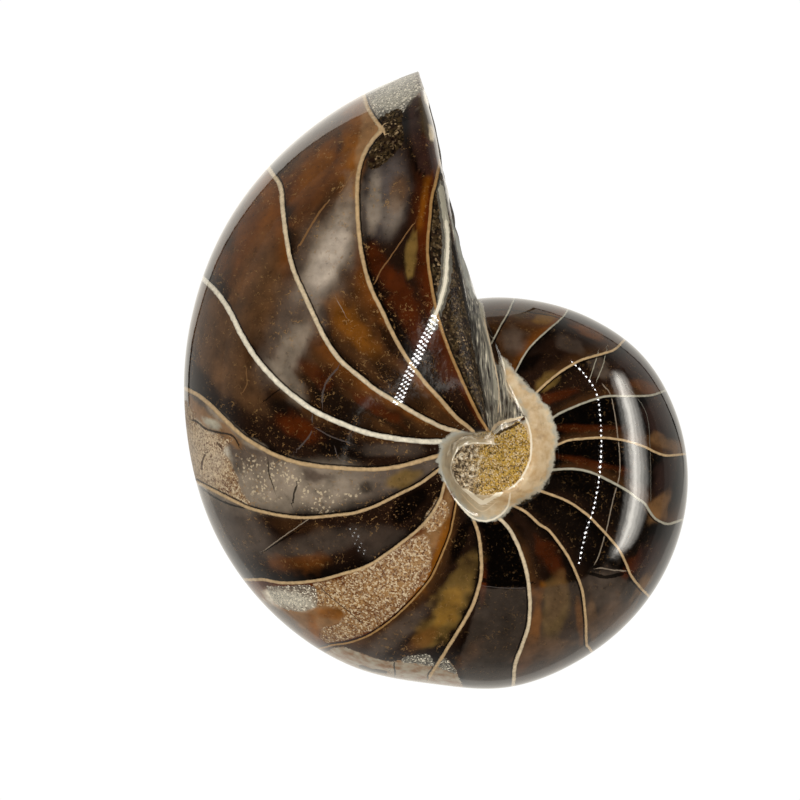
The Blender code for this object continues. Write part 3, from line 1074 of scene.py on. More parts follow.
    def chamber_colours(self, winding: np.ndarray, share: np.ndarray) -> np.ndarray:
        """Shades each chamber from its dark older side to its glowing younger one.

        Args:
            winding: The winding angle of each point.
            share: The share of each point of the way to the venter.

        Returns:
            One row of red, green and blue for each point.
        """
        at = []
        for line in self.sample_walls():
            spots = np.array(sorted(self.locate(p) for p in line))
            at.append(np.interp(share, spots[:, 0], spots[:, 1]))
        at.append(at[-1] + self.youngest_chamber)
        edges = np.maximum.accumulate(np.array(at), axis=0)
        index = (winding[None, :] >= edges[:-1]).sum(0) - 1
        index = np.clip(index, 0, len(self.fillings) - 1)
        low = np.take_along_axis(edges, index[None, :], 0)[0]
        high = np.take_along_axis(edges, index[None, :] + 1, 0)[0]
        f = np.clip((winding - low) / np.maximum(high - low, self.narrowest_chamber), 0, 1)
        colours = np.zeros((len(winding), 3))
        for k, filling in enumerate(self.fillings):
            here = index == k
            deep = ease(f[here] / filling.dark_share)[:, None]
            bright = ease((f[here] - 1 + filling.glow_share) / filling.glow_share)[:, None]
            shade = mix(filling.dark.rgb, filling.body.rgb, deep)
            colours[here] = mix(shade, filling.glow.rgb, bright)
        return colours

    def fray(self, points: np.ndarray) -> np.ndarray:
        """Makes the noise that frays the marks' edges.

        Args:
            points: One row of X, Y and Z for each point.

        Returns:
            A number for each point.
        """
        vectors = [Vector(p) for p in points]
        coarse = np.array([noise.noise(v / self.fray_size) for v in vectors])
        return coarse + self.fine_fray * np.array([noise.noise(v / self.fine_fray_size) for v in vectors])

    def unseen(self, points: np.ndarray, normals: np.ndarray, wobble: np.ndarray) -> np.ndarray:
        """Tells which points lie on the mouth wall's lower part, which the camera doesn't see.

        Args:
            points: One row of X, Y and Z for each point.
            normals: The same for their normals.
            wobble: The noise that frays the part's edge.

        Returns:
            Whether each point does.
        """
        lip = np.interp(points[:, 1], *zip(*self.form.top_height))
        low = points[:, 2] < lip - self.unseen_drop + wobble
        return (normals[:, 0] > 0.5) & low & (points[:, 1] + wobble * 2 > self.unseen_wall)

    def lay(self, mesh: "Vertices") -> None:
        """Writes the markings onto the half's vertices as attributes that its material reads.

        Args:
            mesh: The vertices of the object that HalfForm built.
        """
        points = mesh.vectors("co") / MM
        pixels = self.view.pixels(points)
        share = np.where(mesh.floats("zone") == Zone.FLANK.value, mesh.floats("share"), 0.0)
        wobble = self.fray(points)
        tone = self.chamber_colours(mesh.floats("winding"), share)
        for mark in (*self.strokes, *self.patches):
            tone = mix(tone, mark.tint.rgb, mark.cover(pixels, wobble)[:, None])
        mesh.write_colours("tone", tone)
        unseen = self.unseen(points, mesh.vectors("normal"), wobble)
        seen = np.where(unseen[:, None], self.off_picture, pixels)
        self.lay_lines(mesh, "wall", self.walls, self.sample_walls(), seen)
        for name, lines in (("pale", self.pale_cracks_and_highlight), ("dark", self.dark_cracks_and_highlight), ("rim", self.rims_and_painted_light)):
            self.lay_lines(mesh, name, lines, [curved(line.points) for line in lines], seen)
        areas = {
            "sandy": self.sandy, "gritty": self.gritty, "stony": self.stony,
            "speckled": self.speckled, "granular": self.granular, "streaky": self.streaky,
            "ring": (self.ring,), "plug": (self.plug,),
        }
        scale = self.view.mm_per_pixel
        for name, outlines in areas.items():
            depths = [area_distance(seen, outline, self.reach / scale) for outline in outlines]
            depth = np.max(depths, axis=0) * scale
            mesh.write_floats(name, np.where(unseen & (name == "granular"), self.reach, depth))

    def lay_lines(
        self,
        mesh: "Vertices",
        name: str,
        lines: tuple[Line, ...],
        paths: list[np.ndarray],
        pixels: np.ndarray,
    ) -> None:
        """Writes how far each vertex lies from the nearest of some lines.

        Args:
            mesh: The vertices that get the attributes.
            name: The attribute's name. The nearest line's width goes to the name with _width after
                it, and its colour to the name with _tone.
            lines: The lines.
            paths: Each line's smooth path, in pixels.
            pixels: One row of picture X and Y for each vertex.
        """
        scale = self.view.mm_per_pixel
        distance = np.full(len(pixels), self.reach)
        second = distance.copy()
        nearest = np.zeros(len(pixels), int)
        for k, path in enumerate(paths):
            d = line_distance(pixels, path, self.reach / scale) * scale
            closer = np.abs(d) < np.abs(distance)
            second = np.minimum(second, np.abs(np.where(closer, distance, d)))
            distance[closer] = d[closer]
            nearest[closer] = k
        width = np.array([line.width for line in lines])[nearest]
        width = width * ease((self.line_reach - np.abs(distance)) / self.line_reach * self.line_fade)
        width = width * ease((second - np.abs(distance)) / self.line_reach * self.line_gap)
        mesh.write_floats(name, distance)
        mesh.write_floats(name + "_width", width)
        mesh.write_colours(name + "_tone", np.array([line.tint.rgb for line in lines])[nearest])


@dataclass
class Vertices:
    """A mesh's vertices, whose values are read and written all at once."""

    mesh: bpy.types.Mesh

    def vectors(self, kind: str) -> np.ndarray:
        """Reads a vector of each vertex.

        Args:
            kind: Its place, "co", or its "normal".

        Returns:
            One row of X, Y and Z for each vertex.
        """
        values = np.zeros(len(self.mesh.vertices) * 3, np.float32)
        self.mesh.vertices.foreach_get(kind, values)
        return values.reshape(-1, 3).astype(float)

    def floats(self, name: str) -> np.ndarray:
        """Reads an attribute of one number each.

        Args:
            name: The attribute's name.

        Returns:
            The numbers.
        """
        values = np.zeros(len(self.mesh.vertices), np.float32)
        self.mesh.attributes[name].data.foreach_get("value", values)
        return values.astype(float)

    def write_floats(self, name: str, values: np.ndarray) -> None:
        """Writes an attribute of one number each."""
        attribute = self.mesh.attributes.new(name, "FLOAT", "POINT")
        attribute.data.foreach_set("value", values.astype(np.float32))

    def write_colours(self, name: str, colours: np.ndarray) -> None:
        """Writes an attribute of one colour each.

        Args:
            name: The attribute's name.
            colours: One row of red, green and blue for each vertex.
        """
        attribute = self.mesh.attributes.new(name, "FLOAT_COLOR", "POINT")
        opaque = np.hstack((colours, np.ones((len(colours), 1))))
        attribute.data.foreach_set("color", opaque.astype(np.float32).ravel())


@dataclass(frozen=True)
class Value:
    """A shader socket that holds a number, whose arithmetic adds Math nodes."""

    graph: "Graph"
    socket: bpy.types.NodeSocket

    def math(self, operation: str, *others: Any) -> "Value":
        """Adds one Math node of this and other values or numbers, and wraps its result."""
        inputs = dict(enumerate((self, *others)))
        return self.graph.value("ShaderNodeMath", {"operation": operation}, inputs)

    def __add__(self, other: Any) -> "Value":
        """This plus another."""
        return self.math("ADD", other)

    __radd__ = __add__

    def __mul__(self, other: Any) -> "Value":
        """This times another."""
        return self.math("MULTIPLY", other)

    __rmul__ = __mul__

    def __sub__(self, other: Any) -> "Value":
        """This less another."""
        return self.math("SUBTRACT", other)

    def __rsub__(self, other: Any) -> "Value":
        """Another less this."""
        return self.graph.value("ShaderNodeMath", {"operation": "SUBTRACT"}, {0: other, 1: self})

    def __truediv__(self, other: Any) -> "Value":
        """This over another."""
        return self.math("DIVIDE", other)

    def __neg__(self) -> "Value":
        """This with its sign turned."""
        return self.math("MULTIPLY", -1.0)

    def __abs__(self) -> "Value":
        """This without its sign."""
        return self.math("ABSOLUTE")

    def __pow__(self, other: Any) -> "Value":
        """This to a power."""
        return self.math("POWER", other)

    def step(self, low: float, high: Any) -> "Value":
        """Eases from 0 where this is low to 1 where it is high."""
        inputs = {"Value": self, "From Min": low, "From Max": high}
        return self.graph.value("ShaderNodeMapRange", {"interpolation_type": "SMOOTHSTEP"}, inputs)


@dataclass
class Graph:
    """The nodes of a material or of the world."""

    owner: Any

    def __post_init__(self) -> None:
        """Starts the node tree with its own shader."""
        self.owner.use_nodes = True
        self.tree = self.owner.node_tree
        self.shader = self.tree.nodes.get("Principled BSDF") or self.tree.nodes["Background"]

    def add(
        self,
        kind: str,
        settings: dict[str, Any] | None = None,
        inputs: dict[str | int, Any] | None = None,
    ) -> bpy.types.Node:
        """Adds one node.

        Args:
            kind: The node's type.
            settings: Its own settings, which are set first.
            inputs: A value or a link for each socket, by name or number.

        Returns:
            The node.
        """
        node = self.tree.nodes.new(kind)
        for name, setting in (settings or {}).items():
            setattr(node, name, setting)
        self.feed(node, inputs or {})
        return node

    def feed(self, node: bpy.types.Node, inputs: dict[str | int, Any]) -> None:
        """Links or sets a node's sockets.

        Args:
            node: The node.
            inputs: A value, a tint or a link for each socket, by name or number.
        """
        for key, given in inputs.items():
            given = given.socket if isinstance(given, Value) else given
            given = given.rgba if isinstance(given, Tint) else given
            if isinstance(given, bpy.types.NodeSocket):
                self.tree.links.new(given, node.inputs[key])
            else:
                node.inputs[key].default_value = given

    def value(
        self, kind: str, settings: dict[str, Any], inputs: dict[str | int, Any], out: str | int = 0
    ) -> Value:
        """Adds one node and wraps one of its outputs."""
        return Value(self, self.add(kind, settings, inputs).outputs[out])

    def attribute(self, name: str) -> Value:
        """A number that the mesh carries."""
        return self.value("ShaderNodeAttribute", {"attribute_name": name}, {}, "Fac")

    def colour_attribute(self, name: str) -> bpy.types.NodeSocket:
        """A colour that the mesh carries."""
        return self.add("ShaderNodeAttribute", {"attribute_name": name}).outputs["Color"]

    def coordinates(self, stretch: tuple[float, float, float] = (1, 1, 1)) -> bpy.types.NodeSocket:
        """Gives object coordinates.

        Args:
            stretch: How much each axis is stretched.

        Returns:
            The coordinates, in millimetres.
        """
        source = self.add("ShaderNodeTexCoord").outputs["Object"]
        inputs = {0: source, 1: tuple(s / MM for s in stretch)}
        return self.add("ShaderNodeVectorMath", {"operation": "MULTIPLY"}, inputs).outputs[0]

    def split(self, vector: bpy.types.NodeSocket) -> list[Value]:
        """A vector's X, Y and Z."""
        parts = self.add("ShaderNodeSeparateXYZ", {}, {0: vector})
        return [Value(self, output) for output in parts.outputs]

    def clouds(
        self, size: float, detail: float = 3, roughness: float = 0.55, vector: Any = None
    ) -> Value:
        """Makes noise about 0, mostly within 0.5 either way.

        Args:
            size: The width of its lumps, in millimetres.
            detail: How many finer layers it has.
            roughness: How strong those are.
            vector: Where it is read, if not at the object's coordinates.

        Returns:
            The noise.
        """
        place = vector or self.coordinates()
        inputs = {"Vector": place, "Scale": 1 / size, "Detail": detail, "Roughness": roughness}
        return (self.value("ShaderNodeTexNoise", {}, inputs, "Fac") - 0.5) * 2.0

    def grains(self, size: float) -> tuple[Value, Value, Value]:
        """Makes grains of sand.

        Args:
            size: The grains' width.

        Returns:
            Each grain's own two random numbers, and the distance from its middle.
        """
        inputs = {"Vector": self.coordinates(), "Scale": 1 / size}
        cells = self.add("ShaderNodeTexVoronoi", {}, inputs).outputs
        parts = self.add("ShaderNodeSeparateColor", {}, {0: cells["Color"]}).outputs
        return Value(self, parts[0]), Value(self, parts[1]), Value(self, cells["Distance"])

    def blend(self, base: Any, *covers: tuple[Any, Any]) -> Any:
        """Lays colours over one another.

        Args:
            base: The lowest colour.
            covers: Each further colour and the share of it that shows.

        Returns:
            The mixed colour.
        """
        for over, share in covers:
            inputs = {0: share, 6: base, 7: over}
            node = self.add("ShaderNodeMix", {"data_type": "RGBA", "clamp_factor": True}, inputs)
            base = node.outputs[2]
        return base

    def scaled(self, colour: Any, amount: Any) -> bpy.types.NodeSocket:
        """A colour made lighter or darker by an amount."""
        inputs = {0: colour, "Scale": amount}
        return self.add("ShaderNodeVectorMath", {"operation": "SCALE"}, inputs).outputs[0]


@dataclass(frozen=True)
class Stone:
    """The finish of everything but the cut face: glassy calcite, chamber walls, sand and grit."""

    ior: float = 1.55
    polish: float = 0.08
    sand_polish: float = 0.3
    streak_dullness: float = 0.35
    rough: float = 0.8
    grain: float = 0.3
    fine_grain: float = 0.2
    sand_grain: float = 0.23
    grain_relief: float = 0.1
    plug_relief: float = 0.45
    swell: float = 0.02
    swell_size: float = 2.6
    bump: float = 0.6
    spoke_middle: float = 1.5
    spoke_radius: float = 9.0
    spoke_width: float = 0.6
    spoke_length: float = 3.0
    younger_shade_line: float = 0.3

    def mask(self, graph: Graph, name: str, fray: Value, soft: float = 0.08) -> Value:
        """1 inside an area that Markings laid, with a frayed edge."""
        return (graph.attribute(name) + fray).step(-soft, soft)

    def east(self, graph: Graph, low: float, high: float) -> Value:
        """0 left of X = low and 1 right of X = high, with a wavy edge."""
        x, _, _ = graph.split(graph.coordinates())
        return (x + graph.clouds(1.5) * 2.0).step(low, high)

    def spokes(self, graph: Graph) -> Value:
        """Makes noise in streaks that run outwards from the umbilicus.

        Args:
            graph: The material's nodes.

        Returns:
            The noise.
        """
        x, y, _ = graph.split(graph.coordinates())
        around = y.math("ARCTAN2", x - self.spoke_middle) * self.spoke_radius / self.spoke_width
        inputs = {0: graph.attribute("ring") / self.spoke_length, 1: around}
        place = graph.add("ShaderNodeCombineXYZ", {}, inputs).outputs[0]
        return graph.clouds(1.0, detail=4, vector=place)

    def calcite(self, graph: Graph) -> bpy.types.NodeSocket:
        """Makes the glassy filling, with its clouds, tan specks and threads, plainer on the right.

        Args:
            graph: The material's nodes.

        Returns:
            The colour.
        """
        patchy = graph.clouds(5.0).step(-0.3, 0.2) * (1 - self.east(graph, -14.0, 0.0) * 0.65)
        fleck = graph.clouds(0.36, roughness=0.6).step(0.16, 0.42)
        threads = 1 - abs(graph.clouds(1.3, detail=4)).step(0.0, 0.05)
        broken = graph.clouds(0.9, detail=2).step(0.05, 0.25)
        return graph.blend(
            graph.scaled(graph.colour_attribute("tone"), 1.0 + 0.9 * graph.clouds(3.0, detail=7)),
            (Tint.CLAY, fleck * patchy * 0.45),
            (Tint.SAND, threads * broken * patchy * 0.75),
            (Tint.BLACK, graph.clouds(0.9, detail=5).step(0.1, 0.5) * 0.35),
        )

    def sand(self, graph: Graph) -> bpy.types.NodeSocket:
        """Makes tan sand, polished through its grains, tinted by what the marks lay under it.

        Args:
            graph: The material's nodes.

        Returns:
            The colour.
        """
        first, second, _ = graph.grains(self.sand_grain)
        return graph.blend(
            Tint.SAND,
            (Tint.CLAY, graph.clouds(3.0, detail=4).step(-0.35, 0.4)),
            (graph.colour_attribute("tone"), 0.35),
            (Tint.CREAM, first.step(0.4, 0.9) * 0.75),
            (Tint.RUST, second.step(0.6, 0.95) * 0.75),
            (Tint.RUST, graph.clouds(0.8, detail=5).step(0.1, 0.5) * 0.55),
        )

    def grit(self, graph: Graph) -> bpy.types.NodeSocket:
        """Makes pale gritty stone, tinted by what the marks lay under it.

        Args:
            graph: The material's nodes.

        Returns:
            The colour.
        """
        first, second, _ = graph.grains(self.fine_grain)
        return graph.blend(
            Tint.ASH,
            (Tint.STONE, first.step(0.2, 0.8)),
            (graph.colour_attribute("tone"), 0.45),
            (Tint.IVORY, first.step(0.75, 0.95)),
            (Tint.UMBER, second.step(0.75, 0.95) * 0.6),
        )

    def rubble(self, graph: Graph) -> bpy.types.NodeSocket:
        """Makes the dark granular stone of the broken mouth and its tip, with pale specks.

        Args:
            graph: The material's nodes.

        Returns:
            The colour.
        """
        first, second, _ = graph.grains(self.grain)
        lumps = graph.clouds(1.8, detail=5).step(0.0, 0.4)
        return graph.blend(
            Tint.UMBER,
            (Tint.OLIVE, graph.clouds(1.4, detail=5).step(-0.3, 0.3)),
            (Tint.BLACK, second.step(0.5, 0.8) * 0.8),
            (Tint.BEIGE, first.step(0.75, 0.95) * (0.15 + lumps * 0.5)),
        )

    def streaks(self, graph: Graph) -> bpy.types.NodeSocket:
        """Makes the smooth stone below the mouth, streaked black and white along the wall.

        Args:
            graph: The material's nodes.

        Returns:
            The colour.
        """
        long = graph.coordinates((1, 0.12, 0.12))
        fine = graph.clouds(0.3, detail=5, vector=long)
        return graph.blend(
            Tint.STONE,
            (Tint.ASH, fine.step(-0.3, 0.1)),
            (Tint.UMBER, fine.step(0.05, 0.3)),
            (Tint.COAL, graph.clouds(0.8, vector=long).step(0.1, 0.4) * 0.9),
            (Tint.IVORY, (-fine).step(0.12, 0.4) * 0.9),
        )

    def plug(self, graph: Graph) -> bpy.types.NodeSocket:
        """Makes the rough ochre filling of the umbilicus, grey and white on its left.

        Args:
            graph: The material's nodes.

        Returns:
            The colour.
        """
        first, second, middle = graph.grains(self.fine_grain)
        left = 1 - self.east(graph, -3.5, -1.0)
        lumps = graph.clouds(0.7, detail=4)
        base = graph.blend(
            Tint.STRAW,
            (Tint.OCHRE, graph.clouds(0.8, detail=4).step(-0.2, 0.4)),
            (Tint.MIST, graph.clouds(2.5, detail=4).step(0.1, 0.5) * 0.6),
            (Tint.MIST, left * 0.7),
            (Tint.CREAM, first.step(0.55, 0.9) * 0.7),
            (Tint.UMBER, second.step(0.7, 0.95) * 0.8),
            (Tint.UMBER, lumps.step(0.0, 0.25) * left * 0.85),
            (Tint.IVORY, (-lumps).step(0.05, 0.3) * left * 0.8),
        )
        return graph.scaled(base, 1.45 - middle * 0.8)

    def ring(self, graph: Graph) -> bpy.types.NodeSocket:
        """Makes the beige shell round the umbilicus, greyer on the left, hazy at its rim.

        Args:
            graph: The material's nodes.

        Returns:
            The colour.
        """
        left = 1 - self.east(graph, -6.0, 3.0)
        inwards = graph.attribute("ring") + graph.clouds(1.0, detail=4) * 1.2
        return graph.blend(
            Tint.CREAM,
            (Tint.BEIGE, graph.clouds(2.2, detail=5).step(-0.35, 0.3)),
            (Tint.STONE, left * 0.7),
            (Tint.CLAY, graph.clouds(1.6, detail=6).step(0.05, 0.5) * 0.45),
            (Tint.HAZE, (1 - inwards.step(0.1, 1.2)) * 0.75),
        )

    def mud(self, graph: Graph) -> bpy.types.NodeSocket:
        """Makes the plain stone along the lower edge."""
        share = graph.clouds(1.5, detail=6).step(-0.4, 0.4) * 0.8
        return graph.blend(Tint.CLAY, (Tint.STONE, share))

    def lined(self, graph: Graph, under: Any, name: str, strength: float) -> bpy.types.NodeSocket:
        """Draws the lines of one kind, each in its own colour.

        Args:
            graph: The material's nodes.
            under: The colour under the lines.
            name: The kind of line, as Markings names it.
            strength: How well they cover.

        Returns:
            The colour with the lines.
        """
        width = graph.attribute(name + "_width")
        wander = graph.clouds(0.7) * 0.1
        inside = width * (0.5 + graph.clouds(0.9) * 0.25) - abs(graph.attribute(name) + wander)
        share = inside.step(-0.05, 0.05) * width.step(0.03, 0.09) * strength
        return graph.blend(under, (graph.colour_attribute(name + "_tone"), share))

    def walled(self, graph: Graph, under: Any) -> bpy.types.NodeSocket:
        """Draws the chamber walls, each with a black line of painted shade on its younger side.

        Args:
            graph: The material's nodes.
            under: The colour under the walls.

        Returns:
            The colour with the walls.
        """
        side = graph.attribute("wall") + graph.clouds(1.6) * 0.06
        width = graph.attribute("wall_width") * (0.5 + graph.clouds(1.0) * 0.16)
        present = graph.attribute("wall_width").step(0.05, 0.2)
        past = 1 - (side + width).step(-0.06, 0.04)
        # Painted shade: a black line beside each wall on its younger side.
        younger = (self.younger_shade_line + width + side).step(-0.05, 0.12) * past
        core = 1 - (abs(side) / width).step(0.3, 1.0) * 0.35
        mottle = 0.9 + graph.clouds(0.7, detail=4) * 0.5
        shell = graph.scaled(graph.scaled(graph.colour_attribute("wall_tone"), mottle), core)
        return graph.blend(
            under,
            (Tint.BLACK, younger * present * 0.85),
            (shell, (width - abs(side)).step(-0.05, 0.05) * present),
        )

    def build(self) -> bpy.types.Material:
        """Makes the material.

        Returns:
            The material, which reads the attributes that Markings lays.
        """
        graph = Graph(bpy.data.materials.new("stone"))
        fray = graph.clouds(0.6, detail=4) * 0.4
        sandy = self.mask(graph, "sandy", fray + graph.clouds(1.6, detail=4) * 0.7, 0.25)
        gritty = self.mask(graph, "gritty", fray)
        granular = self.mask(graph, "granular", fray)
        streaky = self.mask(graph, "streaky", fray * 0.5)
        plug = self.mask(graph, "plug", fray)
        spots = self.mask(graph, "speckled", graph.clouds(1.4) * 1.2, 0.4)
        dots, _, middle = graph.grains(self.grain)
        colour = graph.blend(
            self.calcite(graph),
            (Tint.CREAM, spots * dots.step(0.8, 0.95) * 0.6),
            (self.sand(graph), sandy),
            (self.mud(graph), self.mask(graph, "stony", fray)),
            (self.grit(graph), gritty),
            (self.rubble(graph), granular),
            (self.streaks(graph), streaky),
        )
        # The pale, dark and rim lines also carry the painted highlight on the mouth's rounded edge, and
        # the rim lines a painted shadow under the lip.
        colour = self.lined(graph, colour, "pale", 0.75)
        colour = self.lined(graph, colour, "dark", 0.85)
        colour = self.walled(graph, colour)
        torn = self.spokes(graph) * 0.3 + graph.clouds(1.3, detail=7, roughness=0.65) * 0.9
        shell = (graph.attribute("ring") + torn).step(-0.2, 0.3)
        colour = graph.blend(colour, (self.ring(graph), shell), (self.plug(graph), plug))
        colour = self.lined(graph, colour, "rim", 0.9)
        grainy = sandy.math("MAXIMUM", gritty).math("MAXIMUM", granular)
        rough = self.polish + grainy * (self.sand_polish - self.polish)
        rough = rough + plug * (self.rough - self.polish) + streaky * self.streak_dullness
        height = (grainy * self.grain_relief + plug * self.plug_relief) * (0.5 - middle)
        height = height + graph.clouds(self.swell_size) * self.swell
        relief = {"Strength": self.bump, "Distance": MM, "Height": height}
        bump = graph.add("ShaderNodeBump", {}, relief).outputs["Normal"]
        look = {"Base Color": colour, "Roughness": rough, "Normal": bump, "IOR": self.ior}
        graph.feed(graph.shader, look)
        dull = {"Base Color": colour, "Specular IOR Level": 0.0, "Normal": bump}
        matte = graph.add("ShaderNodeBsdfPrincipled", {}, dull)
        share = sandy * 0.4 + granular * 0.8 + streaky * 0.6 + plug * 0.8
        both = {0: share, 1: graph.shader.outputs[0], 2: matte.outputs[0]}
        mixed = graph.add("ShaderNodeMixShader", {}, both)
        graph.feed(graph.tree.nodes["Material Output"], {"Surface": mixed.outputs[0]})
        return graph.owner


@dataclass(frozen=True)
class CutFace:
    """The finish of the flat face that the half rests on: the sawn and polished whorls."""

    turn_growth: float = 2.42
    wall_step: float = 18.7
    wall_bulge: float = 0.45
    outer_radius: float = 26.0
    outer_angle: float = 95.0
    shell_edge: tuple[float, float] = (0.45, 0.6)
    wall_edge: tuple[float, float] = (0.3, 0.42)
    sand_size: float = 11.0
    polish: float = 0.14
    sand_dullness: float = 0.2

    def build(self) -> bpy.types.Material:
        """Makes the material.

        Returns:
            The material, drawn round the object's own origin.
        """
        graph = Graph(bpy.data.materials.new("cut face"))
        x, y, _ = graph.split(graph.coordinates())
        radius = (x * x + y * y) ** 0.5
        turns = (radius / self.outer_radius).math("LOGARITHM", self.turn_growth)
        around = (math.radians(self.outer_angle) - y.math("ARCTAN2", x)) / math.tau
        along = turns - around
        whorl = abs(along - along.math("ROUND")) * radius * math.log(self.turn_growth)
        bulge = ((along - along.math("FLOOR")) * math.pi).math("SINE") * self.wall_bulge
        place = (around * 360 + bulge * self.wall_step) / self.wall_step
        near = abs(place - place.math("ROUND")) * radius * math.radians(self.wall_step)
        sandy = graph.clouds(self.sand_size).step(0.2, 0.3)
        pale = (1 - near.step(*self.wall_edge)).math("MAXIMUM", 1 - whorl.step(*self.shell_edge))
        colour = graph.blend(
            Tint.UMBER,
            (Tint.RUST, graph.clouds(4.0, detail=5).step(-0.4, 0.5)),
            (Stone().sand(graph), sandy),
            (Tint.BEIGE, pale),
        )
        rough = self.polish + sandy * self.sand_dullness
        graph.feed(graph.shader, {"Base Color": colour, "Roughness": rough, "IOR": Stone().ior})
        return graph.owner


class Mirror:
    """Finds where a lamp must hang to be seen in the polish at a pixel."""

    def __init__(self, half: bpy.types.Object, view: View) -> None:
        """Keeps the half's surface.

        Args:
            half: The object that HalfForm built.
            view: The picture's view.
        """
        self.view = view
        self.points = [vertex.co / MM for vertex in half.data.vertices]
        self.normals = [vertex.normal.copy() for vertex in half.data.vertices]
        self.quads = [tuple(face.vertices) for face in half.data.polygons if len(face.vertices) < 5]
        self.tree = BVHTree.FromPolygons(self.points, self.quads)

    def spot(self, pixel: Pixel, distance: float) -> Vector:
        """Finds the lamp's place.

        Args:
            pixel: Where the lamp is seen.
            distance: How far from the surface it hangs.

        Returns:
            Its place.
        """
        eye = Vector((*self.view.centre, self.view.height))
        sight = Vector((*self.view.plan(pixel, 0), 0)) - eye
        sight.normalize()
        hit, _, index, _ = self.tree.ray_cast(eye, sight)
        normal = Vector()
        for corner in self.quads[index]:
            normal += self.normals[corner] / ((self.points[corner] - hit).length + 0.01)
        normal.normalize()
        return hit + sight.reflect(normal) * distance


@dataclass(frozen=True)
class Ribbon:
    """A soft streak of light in the polish, between two edges drawn by pixels."""

    left: tuple[Pixel, ...]
    right: tuple[Pixel, ...]
    levels: tuple[float, ...]
    fade: float = 0.12


@dataclass(frozen=True)
class Dots:
    """Strings of small bright spots in the polish, along a line of pixels."""

    line: tuple[Pixel, ...]
    count: int
    offsets: tuple[float, ...]
    radius: float
    level: float
    least: float = 0.75
    spread: float = 0.5
    corners: int = 8


@dataclass
class Studio:
    """The white surroundings, the lamps and the camera."""

    view: View
    sensor: float = 36.0
    clip: tuple[float, float] = (0.05, 20.0)
    floor_drop: float = 0.06
    floor_size: float = 3000.0
    floor_light: float = 1.02
    near_floor: tuple[Pixel, ...] = (
        (540, 262), (600, 262), (655, 300), (690, 360), (704, 410), (706, 460), (722, 520),
        (722, 600), (655, 690), (565, 728), (480, 738), (400, 735), (310, 710), (230, 655),
        (178, 580), (155, 500), (163, 420), (163, 350), (166, 280), (195, 170), (250, 80),
        (330, -60), (430, -200), (520, -60), (535, 120),
    )
    around: tuple[tuple[float, float], ...] = (
        (-200.0, 1.0), (0.0, 1.0), (0.02, 0.0), (1.2, 0.0), (1.22, 0.6), (60.0, 0.36), (1500.0, 0.15),
    )
    beyond: float = 1.21
    tip_way: tuple[float, float, float] = (-0.45, 0.89, 0.0)
    tip_dimming: float = 0.45
    near_level: float = 0.95
    near_rise: float = 0.5
    below_slope: float = 3.0
    below_start: float = 0.3
    below_level: float = 0.7
    low_light: float = 0.3
    high_light: float = 0.014
    middle_light: float = 0.75
    left_light: float = 0.35
    overhead_at: tuple[float, float, float] = (-15.0, 10.0, 1500.0)
    overhead_size: float = 1800.0
    overhead_level: float = 3.1
    ribbon_distance: float = 60.0
    dot_distance: float = 4.0
    ribbons: tuple[Ribbon, ...] = (
        Ribbon(
            ((606, 370), (611, 385), (619, 415), (622, 445), (624, 480), (621, 510), (613, 540),
             (604, 560)),
            ((624, 368), (632, 385), (643, 415), (648, 445), (650, 480), (648, 510), (638, 540),
             (618, 562)),
            (0.0, 1.0, 2.5, 2.0, 7.0, 9.0, 15.0, 16.0, 10.0, 11.0, 6.0, 6.5, 3.5, 3.0, 1.0, 0.0),
        ),
        Ribbon(
            ((432, 312), (422, 333), (413, 353), (403, 375), (391, 404)),
            ((442, 316), (433, 338), (424, 358), (414, 380), (401, 408)),
            (0.0, 1.0, 3.5, 4.0, 3.5, 1.0, 0.0),
        ),
    )
    dots: tuple[Dots, ...] = (
        Dots(((572, 362), (585, 375), (597, 395), (601, 430), (600, 470), (594, 507), (587, 528),
              (583, 545), (578, 568)), 42, (0.0,), 0.17, 50.0),
        Dots(((436, 316), (427, 335), (418, 355), (408, 377), (396, 406)), 21,
             (-3.4, 0.0, 3.4), 0.2, 45.0),
        Dots(((353, 529), (356, 538), (360, 548), (366, 557)), 4, (-3.0, 0.0, 3.0), 0.1, 12.0),
    )

    def glow(self, name: str, strength: float, attribute: str = "") -> bpy.types.Material:
        """Makes a material that gives light.

        Args:
            name: Its name.
            strength: How much light it gives.
            attribute: The attribute that the strength is multiplied by, if any.

        Returns:
            The material.
        """
        graph = Graph(bpy.data.materials.new(name))
        light = (1, 1, 1, 1)
        if attribute:
            light = graph.scaled(Tint.DAYLIGHT.rgba[:3], graph.attribute(attribute))
        black = {"Base Color": (0, 0, 0, 1), "Specular IOR Level": 0.0}
        graph.feed(graph.shader, {**black, "Emission Color": light, "Emission Strength": strength})
        return graph.owner

    def stage(
        self, name: str, bm: bmesh.types.BMesh, material: bpy.types.Material, seen: bool = False
    ) -> None:
        """Turns a finished mesh into a staging piece.

        Args:
            name: The piece's name.
            bm: The mesh.
            material: Its material.
            seen: Whether the camera sees it, or only the polish.
        """
        piece = as_object(name, bm)
        log.info("%s: staging", name)
        piece.data.materials.append(material)
        if not seen:
            piece.visible_camera = piece.visible_diffuse = piece.visible_shadow = False
            piece.visible_transmission = False

    def add_surroundings(self) -> None:
        """Lays what the rim shows: the near floor, a thin black ring and dimmer lanes beyond it."""
        path = curved((*self.near_floor, self.near_floor[0]))
        z = -self.floor_drop / 2
        edge = [Vector((*self.view.plan((float(x), float(y)), z), z)) for x, y in path]
        middle = sum(edge[:-1], Vector()) / (len(edge) - 1)

        def place(i: int, lane: int) -> tuple[Vector, float]:
            """The point and light of one lane at the edge's point i."""
            growth, light = self.around[lane]
            out = edge[i] - middle
            far = max(out.length + growth, 0.0)
            out.normalize()
            below = min(max(-self.below_slope * out.y - self.below_start, 0.0), 1.0)
            aloft = max(out.dot(Vector(self.tip_way)), 0.0)
            if growth > self.beyond:
                light *= 1.0 - self.tip_dimming * aloft**2
            else:
                light = max(light, self.below_level * below)
                light *= self.near_level + self.near_rise * aloft**4
            return middle + out * far, light

